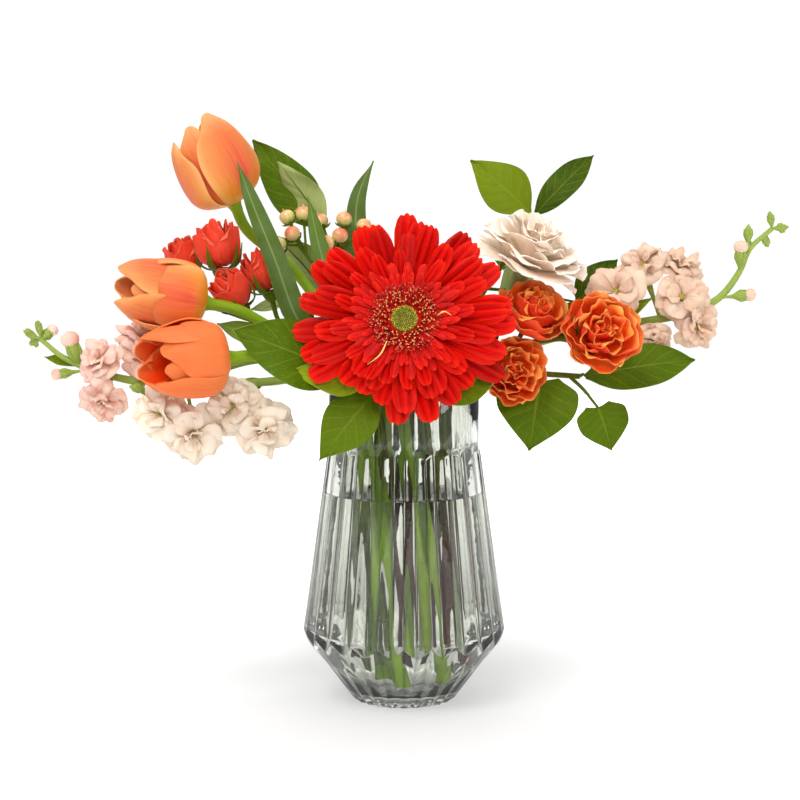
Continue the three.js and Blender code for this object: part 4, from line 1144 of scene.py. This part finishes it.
STOCK_RINGS = (
    # count, root and throat in mm, three places of the blade as shares of the radius, half angle,
    # ruffle
    (4, ((1.2, 0.4), (3, 3.2), (0.56, 0.4), (0.96, 0.36), (1.24, 0.16)), 52, 0.12),
    (4, ((1.1, 1), (2.6, 4.2), (0.46, 0.58), (0.82, 0.64), (1.08, 0.52)), 50, 0.15),
    (3, ((0.9, 1.6), (1.9, 4.8), (0.33, 0.66), (0.58, 0.86), (0.84, 0.88)), 54, 0.18),
    (2, ((0.8, 2), (1.2, 5), (0.16, 0.66), (0.3, 0.9), (0.46, 1)), 74, 0.16),
)


def stock_floret(blush, heart, place, radius, draws, full):
    """A floret: rings of broad crumpled petals on narrow claws round the throat. There are four
    rings in a full one, and three in another, with its lowest petals wider."""
    claw = (0.5, 0.58, 0.84, 1, 1.02, 1, 0.86)
    rings = STOCK_RINGS if full else STOCK_RINGS[:3]
    for ring, (count, (root, throat, *blade), half, ruffle) in enumerate(rings):
        profile = [root, throat, *[(r * radius, z * radius) for r, z in blade]]
        if not (full or ring):
            half += 6
        tier_of(blush, place, draws, count, profile, half, ruffle * radius, point=0.04,
                spread=claw, teeth=0.15, grid=(14, 18), waves=(1.8, 4.4), crumple=0.3 * radius,
                crisp=0.2, lean=0.2, loose=8)
    heart.turning([(0, 0), (1.8, 0.2), (2.0, 2.2), (1.5, 4.4), (0, 5.0)], 10, 0.2, place)
    stamen = [V(0.8, 0, 3.6), V(1.3, 0, 5.2), V(1.5, 0, 6.0)]
    for k in range(4):
        heart.rod(stamen, [0.5, 0.45, 0.5, 0.2], 5, 0.9, place @ turned(k * 90 + 20))


def stock_bud(green, blush, root, tip, size, draws):
    """A bud on its stalk: a long green calyx, and in an open bud petals that swell from it."""
    run = (tip - root).length - 0.4
    place = head_frame(root, tip - root, draws.uniform(0, 90))
    foot = max(run - 10.5 * size, 0.5)
    neck = run - (4.6 if size > 1 else 3.6) * size
    belly, tip_from = mix(foot, neck, 0.35), mix(neck, run, 0.5)
    calyx = [(0.8, 0), (0.75, foot * 0.6), (1.1 * size, foot), (2.1 * size, belly)]
    calyx += [(2.5 * size, mix(foot, neck, 0.7)), (2.3 * size, neck), (1.4 * size, tip_from)]
    green.turning([*calyx, (0.7 * size, mix(neck, run, 0.82)), (0.05, run)], 14, 0.5, place)
    if size > 1:
        swell = [(1.6 * size, neck - size), (2.7 * size, neck + 0.6 * size)]
        swell += [(3.1 * size, mix(neck, run, 0.45)), (2.4 * size, mix(neck, run, 0.8))]
        blush.turning([*swell, (0.2, run)], 16, draws.random(), place)
    rib = [V(1.3 * size, 0, foot + 1), V(2.5 * size, 0, mix(foot, neck, 0.6))]
    rib.append(V(2.5 * size, 0, neck + size))
    for k in range(4):
        green.rod(rib, [0.3 * size, 0.6 * size, 0.1], 5, 0.7, place @ turned(k * 90))


def stock(name, slot, path, clusters, buds, leaves, petals, greens, full=True):
    """A stem with clusters of florets, buds as (tip, size, place on the stem) and leaves."""
    line = stem_path(slot[0], *path, foot=slot[1])
    draws = random.Random(len(name) * 7 + slot[1])
    green, leafy = Bunch(), Bunch()
    green.rod(line, [1.9, 1.9, 1.9, 2.1, 2.3, 1.3], 10)
    knots(green, line, 1.9, (48, 88, 130))
    bud_petals = Bunch()
    for c, florets in enumerate(clusters):
        blush, heart = Bunch(), Bunch()
        for k, (base, axis, radius) in enumerate(florets):
            place = head_frame(base, axis, k * 33 + c * 20)
            seat, foot = place @ V(0, 0, -0.9), place @ V(0, 0, -9)
            green.rod(smooth_path([nearest(line, foot), foot, seat], 2), [1.15, 1.1, 1.9, 1.6], 8)
            stock_floret(blush, heart, place, radius, draws, full or (c + k) % 2)
        node = f"{name}_florets_{c + 1}"
        piece(f"{node}_fine", blush, petals, "stock_blush", node, wall=0.26)
        piece(f"{node}_throats", heart, greens[2], "stock_green", node)
    for tip, size, *roots in buds:
        root = nearest(line, roots[0] if roots else tip)
        stock_bud(green, bud_petals, root, tip, size, draws)
        if size < 1:
            for side in (-1, 1):
                beside = root.lerp(tip, 0.7) + V(side * 1.2, side * 2.2, -side * 2.8)
                stock_bud(green, bud_petals, root.lerp(tip, 0.25), beside, size * 0.62, draws)
    for base, tip, width, facing in leaves:
        leaf(leafy, nearest(line, base), base, tip, width, facing, tone=0.7)
    piece(f"{name}_stem_fine", green, greens[0], "stock_green", f"{name}_stem")
    piece(f"{name}_stem_leaves", leafy, greens[1], "stock_green", f"{name}_stem")
    if bud_petals.solids.verts:
        piece(f"{name}_bud_petals", bud_petals, petals, "stock_blush", f"{name}_stem")


def stocks(leaf_green):
    """Three stems: clusters as (base, axis, radius) of each floret, then buds, then leaves."""
    green = stem_finish("stock_green", "3E4A08", "96AA50", "7C9244", 0.1)
    throat = Finish("stock_throat", Roughness=0.6)
    throat.colour(throat.ramp(throat.reading("tone"), (0, "8FA03A"), (0.5, "B9BC55"),
                              (1, "D9C65A")))
    greens = (green, leaf_green, throat.material)
    colours = (
        # name, root, middle, rim, flame, shade
        ("stock_blush", "C4BC44", "E2C2A8", "DAAE94", "EED4BE", "D6A68A"),
        ("stock_pink", "D0C850", "F2CBB8", "E6A898", "F8DACA", "E6AC9C"),
        ("stock_cream", "CCC450", "FAE8D2", "F4DABE", "FEF0E0", "F2D6BA"),
    )
    blush, pink, cream = (
        petal_finish(name, *codes, flame=flame, shade=shade, streaks=0.05, glow=0.2, vary=0.5,
                     gloss=0.1, rise=0.22, grain=0.08)
        for name, *codes, flame, shade in colours
    )
    stock("stock_right", (16, 20), (
        V(42, 7, 184), V(80, 4, 199), V(125, 0, 208), V(157, 4, 214), V(174, 8, 222),
        V(185, 9, 236), V(191, 10, 249), V(203, 10, 260),
    ), (
        ((V(117, -2, 224), V(-0.4, -0.8, 0.4), 14),),
        ((V(133, 10, 237), V(-0.3, -0.6, 0.7), 11.5), (V(150, 10, 236), V(0.3, -0.5, 0.8), 11.5)),
        ((V(151, -3, 221), V(0, -0.9, 0.4), 11.5), (V(158, -4, 208), V(0.4, -0.9, -0.2), 11)),
        ((V(136, -4, 202), V(0, -0.7, -0.7), 9),),
        ((V(134, 9, 192), V(0, -0.5, -0.85), 12),),
    ), (
        (V(185, 4, 254), 1.35, V(184, 9, 235)),
        (V(190, 10, 263), 0.95, V(190, 10, 247)),
        (V(201, 8, 270), 0.8),
        (V(213, 11, 261), 0.8),
        (V(203, 17, 251), 0.9),
        (V(194, 4, 224), 1.2, V(176, 8, 222)),
    ), (
        (V(106, -2, 203), V(134, -10, 222), 12, V(0, -1, 0.4)),
        (V(134, 7, 210), V(126, 24, 188), 13, V(0.3, 0.6, 1)),
    ), blush, greens, full=False)
    stock("stock_left", (169, 24), (
        V(-43, 1, 180), V(-77, -14, 189), V(-110, -18, 181), V(-134, -20, 177), V(-160, -18, 181),
        V(-183, -17, 190), V(-196, -15, 200),
    ), (
        ((V(-161, -25, 187), V(-0.3, -0.8, 0.5), 10.5),),
        ((V(-160, -27, 170), V(-0.1, -0.85, -0.5), 10.5),),
        ((V(-141, -9, 197), V(0, -0.6, 0.8), 12), (V(-137, -15, 188), V(0.1, -0.9, 0.3), 11)),
    ), (
        (V(-181, -20, 205), 1.7, V(-176, -18, 187)),
        (V(-188, -10, 207), 1.1),
        (V(-197, -18, 211), 0.8),
        (V(-206, -15, 205), 0.8),
        (V(-204, -9, 197), 0.7),
        (V(-190, -22, 181), 1.1, V(-168, -18, 183)),
    ), ((V(-176, -14, 186), V(-196, -6, 190), 6, V(0, -1, 0.4)),), pink, greens)
    stock("stock_low", (-170, 28), (
        V(-36, -7, 177), V(-48, -12, 180), V(-68, -20, 178), V(-92, -23, 176), V(-116, -25, 172),
        V(-131, -27, 171),
    ), (
        ((V(-127, -33, 162), V(-0.4, -0.85, 0), 13.5),
         (V(-112, -34, 153), V(0.1, -0.9, -0.35), 13.5)),
        ((V(-90, -31, 165), V(-0.1, -0.9, 0.1), 13.5),
         (V(-75, -31, 155), V(0.3, -0.85, -0.35), 13.5)),
    ), (
        (V(-147, -30, 176), 0.9),
    ), ((V(-75, -20, 178), V(-96, -6, 166), 11, V(0, -1, 0.4)),), cream, greens)


# ---------------------------------------------------------------- hypericum

FORK_FROM = V(-42, 10, 229)
FORKS = (V(-58, 5, 251), V(-34, 7, 250))
BERRIES = (
    # centre, fork
    (V(-64, 5, 266), 0),
    (V(-55, 4, 268), 0),
    (V(-61, 1, 257), 0),
    (V(-68, 0, 251), 0),
    (V(-33, 7, 265), 1),
    (V(-35, 2, 256), 1),
    (V(-22, 4, 261), 1),
    (V(-42, 1, 252), 1),
    (V(-46, 12, 264), 1),
)


def berry_sepal(u, v):
    """One of the five small green sepals under a berry."""
    half = ease((0.9, 1.6, 1.3, 0.1), u)
    return V(mix(0.8, 4.9, u), v * half, mix(-4.3, -2.6, u * u) + 0.1 * v * v)


def hypericum(stem_green, leaf_green):
    """A forked stem with a cluster of berries on each fork, and two leaves."""
    line = stem_path(97, V(-12, 28, 186), V(-28, 22, 212), V(-42, 11, 230), foot=34)
    green, leafy, fruit = Bunch(), Bunch(), Bunch()
    green.rod(line, 1.6, 9)
    for fork in FORKS:
        green.rod([FORK_FROM, FORK_FROM.lerp(fork, 0.5) + V(0, 0, 0.6), fork], [1.3, 1.1, 1.0], 8)
    berry = []
    for i in range(11):
        angle = math.pi * i / 10
        swell = BERRY_RADIUS * (1 - 0.06 * math.cos(angle))
        berry.append((swell * math.sin(angle), -4.3 * math.cos(angle)))
    style = [V(0, 0, 4.1), V(0.1, 0, 4.9), V(0.3, 0.1, 5.5)]
    for k, (centre, cluster) in enumerate(BERRIES):
        root = FORK_FROM.lerp(FORKS[cluster], 0.6 + 0.13 * (k % 4))
        place = head_frame(centre, centre - root, k * 40)
        foot = place.inverted() @ root
        stalk = [foot, V(0, 0, foot.z * 0.4), V(0, 0, -3.4)]
        green.rod(stalk, [0.8, 0.7, 1.1], 7, 0.5, place)
        fruit.turning(berry, 20, (k * 0.37) % 1, place)
        fruit.rod(style, [0.5, 0.25, 0.12], 5, 0.5, place)
        for s in range(5):
            green.sheet(berry_sepal, 6, 4, 0.6, place @ turned(s * 72))
    for base, tip in ((V(-30, 26, 213), V(-54, 42, 222)), (V(-24, 28, 208), V(-12, 48, 230))):
        leaf(leafy, nearest(line, base), base, tip, 13, tone=0.6)
    finish = Finish("hypericum_berry", Roughness=0.28, Coat_Weight=0.3, Subsurface_Weight=0.2,
                    Subsurface_Scale=0.003, Subsurface_Radius=(1, 0.5, 0.25))
    _, along = finish.map_place()
    patches = finish.cloud(finish.object_place(), 260)
    ripe = (along * 1.1 + (patches - 0.5) * 0.9 + finish.reading("tone") * 0.3 - 0.2).clipped()
    finish.colour(finish.ramp(ripe, (0, "9CAE48"), (0.3, "CCCC78"), (0.6, "EDBC84"),
                              (1, "E4784C")))
    piece("hypericum_berries", fruit, finish.material, "hypericum_berry", "hypericum_spray")
    piece("hypericum_twigs", green, stem_green, "hypericum_berry", "hypericum_spray", wall=0.4)
    piece("hypericum_leaves", leafy, leaf_green, "hypericum_berry", "hypericum_spray")


# ---------------------------------------------------------------- leafy stems

LEAFY_STEMS = {
    # slot, inner ring or not and foot, the places that the stem rises through, its leaves
    "greens_front_left": ((-120, False, 38), (V(-18, -35, 177), V(-24, -42, 182)), (
        dict(base=V(-29, -46, 182), tip=V(-89, -56, 207), width=36, arch=0.04, tone=0.45),
        dict(base=V(-21, -49, 177), tip=V(-58, -56, 186), width=19, tone=0.95,
             start=V(-20, -38, 179)),
        dict(base=V(-15, -46, 174), tip=V(-44, -58, 139), width=28, arch=0.05, tone=0.54,
             start=V(-18, -36, 177)),
    )),
    "greens_front": ((-64, False, 36), (V(13, -36, 177), V(12, -43, 178)), (
        dict(base=V(12, -48, 174), tip=V(53, -57, 187), width=24, facing=V(0.1, -1, 0.4),
             arch=-0.08, tone=0.7),
    )),
    "greens_right": ((-12, False, 30), (
        V(41, -9, 178), V(60, -13, 182), V(80, -15, 181), V(95, -15, 180),
    ), (
        dict(base=V(73, -19, 178), tip=V(67, -28, 141), width=44, outline=HEART, arch=0.05,
             start=V(71, -14, 182)),
        dict(base=V(104, -24, 164), tip=V(111, -27, 141), width=28, outline=HEART,
             start=V(90, -15, 180)),
        dict(base=V(98, -15, 180), tip=V(157, -16, 189), width=26, outline=LONG, arch=0.05,
             tone=0.4),
    )),
    "greens_top_right": ((36, True, 28), (
        V(22, 11, 190), V(42, 14, 222), V(60, 17, 248), V(71, 18, 266),
    ), (
        dict(base=V(70, 17, 269), tip=V(37, 20, 298), width=27, facing=V(0, -1, 0.2), tone=0.66),
        dict(base=V(73, 19, 268), tip=V(106, 26, 301), width=17, outline=LONG, tone=0.05),
        dict(base=V(96, 15, 219), tip=V(119, 19, 243), width=20, start=V(45, 14.5, 226), tone=0.1),
        dict(base=V(56, 24, 238), tip=V(72, 50, 262), width=22, facing=V(0, 0.5, 1), tone=0.3),
    )),
    "greens_top_left": ((72, True, 26), (
        V(-3, 20, 192), V(-18, 27, 222), V(-36, 28, 248), V(-46, 26, 258),
    ), (
        dict(base=V(-48, 28, 260), tip=V(-85, 32, 310), width=28, facing=V(0.2, -1, 0.2),
             tone=0.35),
        dict(base=V(-44, 22, 262), tip=V(-70, 18, 297), width=19, facing=V(0.2, 1, -0.1),
             wave=0.06),
        dict(base=V(-27, 34, 236), tip=V(-36, 60, 264), width=22, facing=V(0, 0.5, 1), tone=0.3),
    )),
    "greens_back_left": ((125, False, 32), (V(-22, 36, 180), V(-32, 46, 200), V(-44, 52, 222)), (
        dict(base=V(-46, 54, 224), tip=V(-78, 60, 258), width=24, facing=V(-0.2, 0.6, 0.8),
             tone=0.4),
        dict(base=V(-40, 50, 214), tip=V(-88, 48, 214), width=26, facing=V(-0.2, 0.3, 1)),
        dict(base=V(-33, 50, 200), tip=V(-58, 70, 178), width=25, facing=V(-0.3, 1, 0.5),
             tone=0.3),
    )),
    "greens_back_right": ((62, False, 34), (V(20, 37, 180), V(34, 45, 198), V(52, 49, 216)), (
        dict(base=V(54, 50, 219), tip=V(86, 58, 246), width=24, facing=V(0.2, 0.6, 0.8),
             tone=0.4),
        dict(base=V(48, 46, 208), tip=V(96, 40, 206), width=26, facing=V(0.2, 0.3, 1)),
        dict(base=V(33, 50, 196), tip=V(50, 72, 172), width=25, facing=V(0.3, 1, 0.5), tone=0.3),
    )),
}


def leafy_stems(bark, leaf_green):
    """The stems of greens. A leaf's stalk starts at its base unless a start is given."""
    for name, ((slot, inner, foot), path, leaves) in LEAFY_STEMS.items():
        line = stem_path(slot, *path, inner=inner, foot=foot)
        woody, leafy = Bunch(), Bunch()
        woody.rod(line, [1.8, 1.75, 1.7, 1.5], 9)
        knots(woody, line, 1.7, (60, 92, 134))
        for spec in leaves:
            form = dict(spec)
            start = form.pop("start", form["base"])
            leaf(leafy, nearest(line, start), **form)
        piece(f"{name}_twig", woody, bark, "leaf_green", name)
        piece(f"{name}_leaves", leafy, leaf_green, "leaf_green", name)


# ---------------------------------------------------------------- the studio


def studio():
    """A pale floor before a bright wall, soft lamps, and a camera at the photograph's angle. The
    floor glows with painted light away from the foot of the vase, so that the shadows cast by the
    bouquet are lit away and only a small shadow is left at the foot. The room is pale where it is
    seen and dim where it lights the bouquet, so that the glass keeps its dark lines."""
    bpy.ops.mesh.primitive_plane_add(size=6)
    floor = bpy.context.object
    floor.name = "floor"
    finish = Finish("pale_floor_painted_light", Roughness=0.8, Emission_Strength=1,
                    Base_Color=(0.89, 0.89, 0.89, 1))
    # Painted light: the floor glows through its Emission Color. There is no glow near the foot of
    # the vase, and it grows farther off, sooner to the sides than behind. This lights away the
    # shadows that the bouquet casts and leaves only a small shadow round the foot. In front of the
    # vase the glow is held low.
    parts = finish.node("SeparateXYZ", inputs={0: finish.object_place()}).outputs
    aside, depth = Value(finish, parts[0]) * 1.8, Value(finish, parts[1])
    away = (aside * aside + depth * depth) ** 0.5
    glow = finish.ramp(away, (0.1, (0, 0, 0, 1)), (0.36, (0.6, 0.6, 0.6, 1)),
                       (1, (0.9, 0.9, 0.9, 1)))
    front = ((0.2 - depth) * 3).clipped() * (3.4 - away * 2).clipped()
    glow = finish.blend(front, glow, (0.04, 0.04, 0.04, 1))
    finish.put(finish.shader.inputs["Emission Color"], glow)
    floor.data.materials.append(finish.material)

    bpy.ops.mesh.primitive_plane_add(
        size=1.7, location=(0, 2.2, 0.75), rotation=(math.pi / 2, 0, 0)
    )
    wall = bpy.context.object
    wall.name = "bright_wall"
    finish = Finish("bright_wall", Roughness=1, Emission_Strength=1.02,
                    Base_Color=(0.02, 0.02, 0.02, 1), Emission_Color=(1, 1, 1, 1))
    wall.data.materials.append(finish.material)

    world = bpy.data.worlds.new("studio")
    bpy.context.scene.world = world
    world.use_nodes = True
    tree = world.node_tree
    dim, pale = tree.nodes["Background"], tree.nodes.new("ShaderNodeBackground")
    for background, strength in ((dim, 0.22), (pale, 1)):
        background.inputs["Color"].default_value = (1, 1, 1, 1)
        background.inputs["Strength"].default_value = strength
    seen, both = tree.nodes.new("ShaderNodeLightPath"), tree.nodes.new("ShaderNodeMixShader")
    tree.links.new(seen.outputs["Is Camera Ray"], both.inputs[0])
    tree.links.new(dim.outputs[0], both.inputs[1])
    tree.links.new(pale.outputs[0], both.inputs[2])
    tree.links.new(both.outputs[0], tree.nodes["World Output"].inputs["Surface"])

    lamps = (
        # place, size, power
        (V(-550, -1000, 1450), 900, 18.8),
        (V(200, -1900, 800), 350, 9),
        (V(1200, -500, 600), 500, 4.5),
        (V(0, 350, 1500), 1700, 13),
    )
    for k, (place, size, power) in enumerate(lamps):
        lamp = bpy.data.lights.new(f"soft_{k}", "AREA")
        lamp.size = size * MM
        lamp.energy = power
        obj = bpy.data.objects.new(f"soft_{k}", lamp)
        obj.location = place * MM
        obj.rotation_euler = (V(0, 0, 180) - place).to_track_quat("-Z", "Y").to_euler()
        bpy.context.scene.collection.objects.link(obj)

    eye, target = V(*CAMERA_PLACE), V(*CAMERA_TARGET)
    camera = bpy.data.objects.new("camera", bpy.data.cameras.new("camera"))
    camera.data.lens = CAMERA_LENS
    camera.data.sensor_width = 36
    camera.location = eye * MM
    camera.rotation_euler = (target - eye).to_track_quat("-Z", "Y").to_euler()
    bpy.context.scene.collection.objects.link(camera)
    bpy.context.scene.camera = camera
    bpy.context.scene.view_settings.view_transform = "Standard"


# ---------------------------------------------------------------- the whole bouquet

studio()
bright_green = leaf_finish("leaf_green", "2A4002", "4A6202", "94A21A", "8CA02C", "98A464")
woody_green = stem_finish("rose_green", "5A2804", "5E7414", "3A2C02")
bark_brown = stem_finish("leafy_bark", "4A1C02", "5C6414", "2A1002")
pale_green = stem_finish("carnation_green", "8FAE6A", "A3BF7E", "7B9A58")
vase()
water()
gerbera()
tulips()
red_roses(woody_green, bright_green)
orange_roses(woody_green, bright_green)
carnation(pale_green)
stocks(bright_green)
hypericum(woody_green, bright_green)
leafy_stems(bark_brown, bright_green)
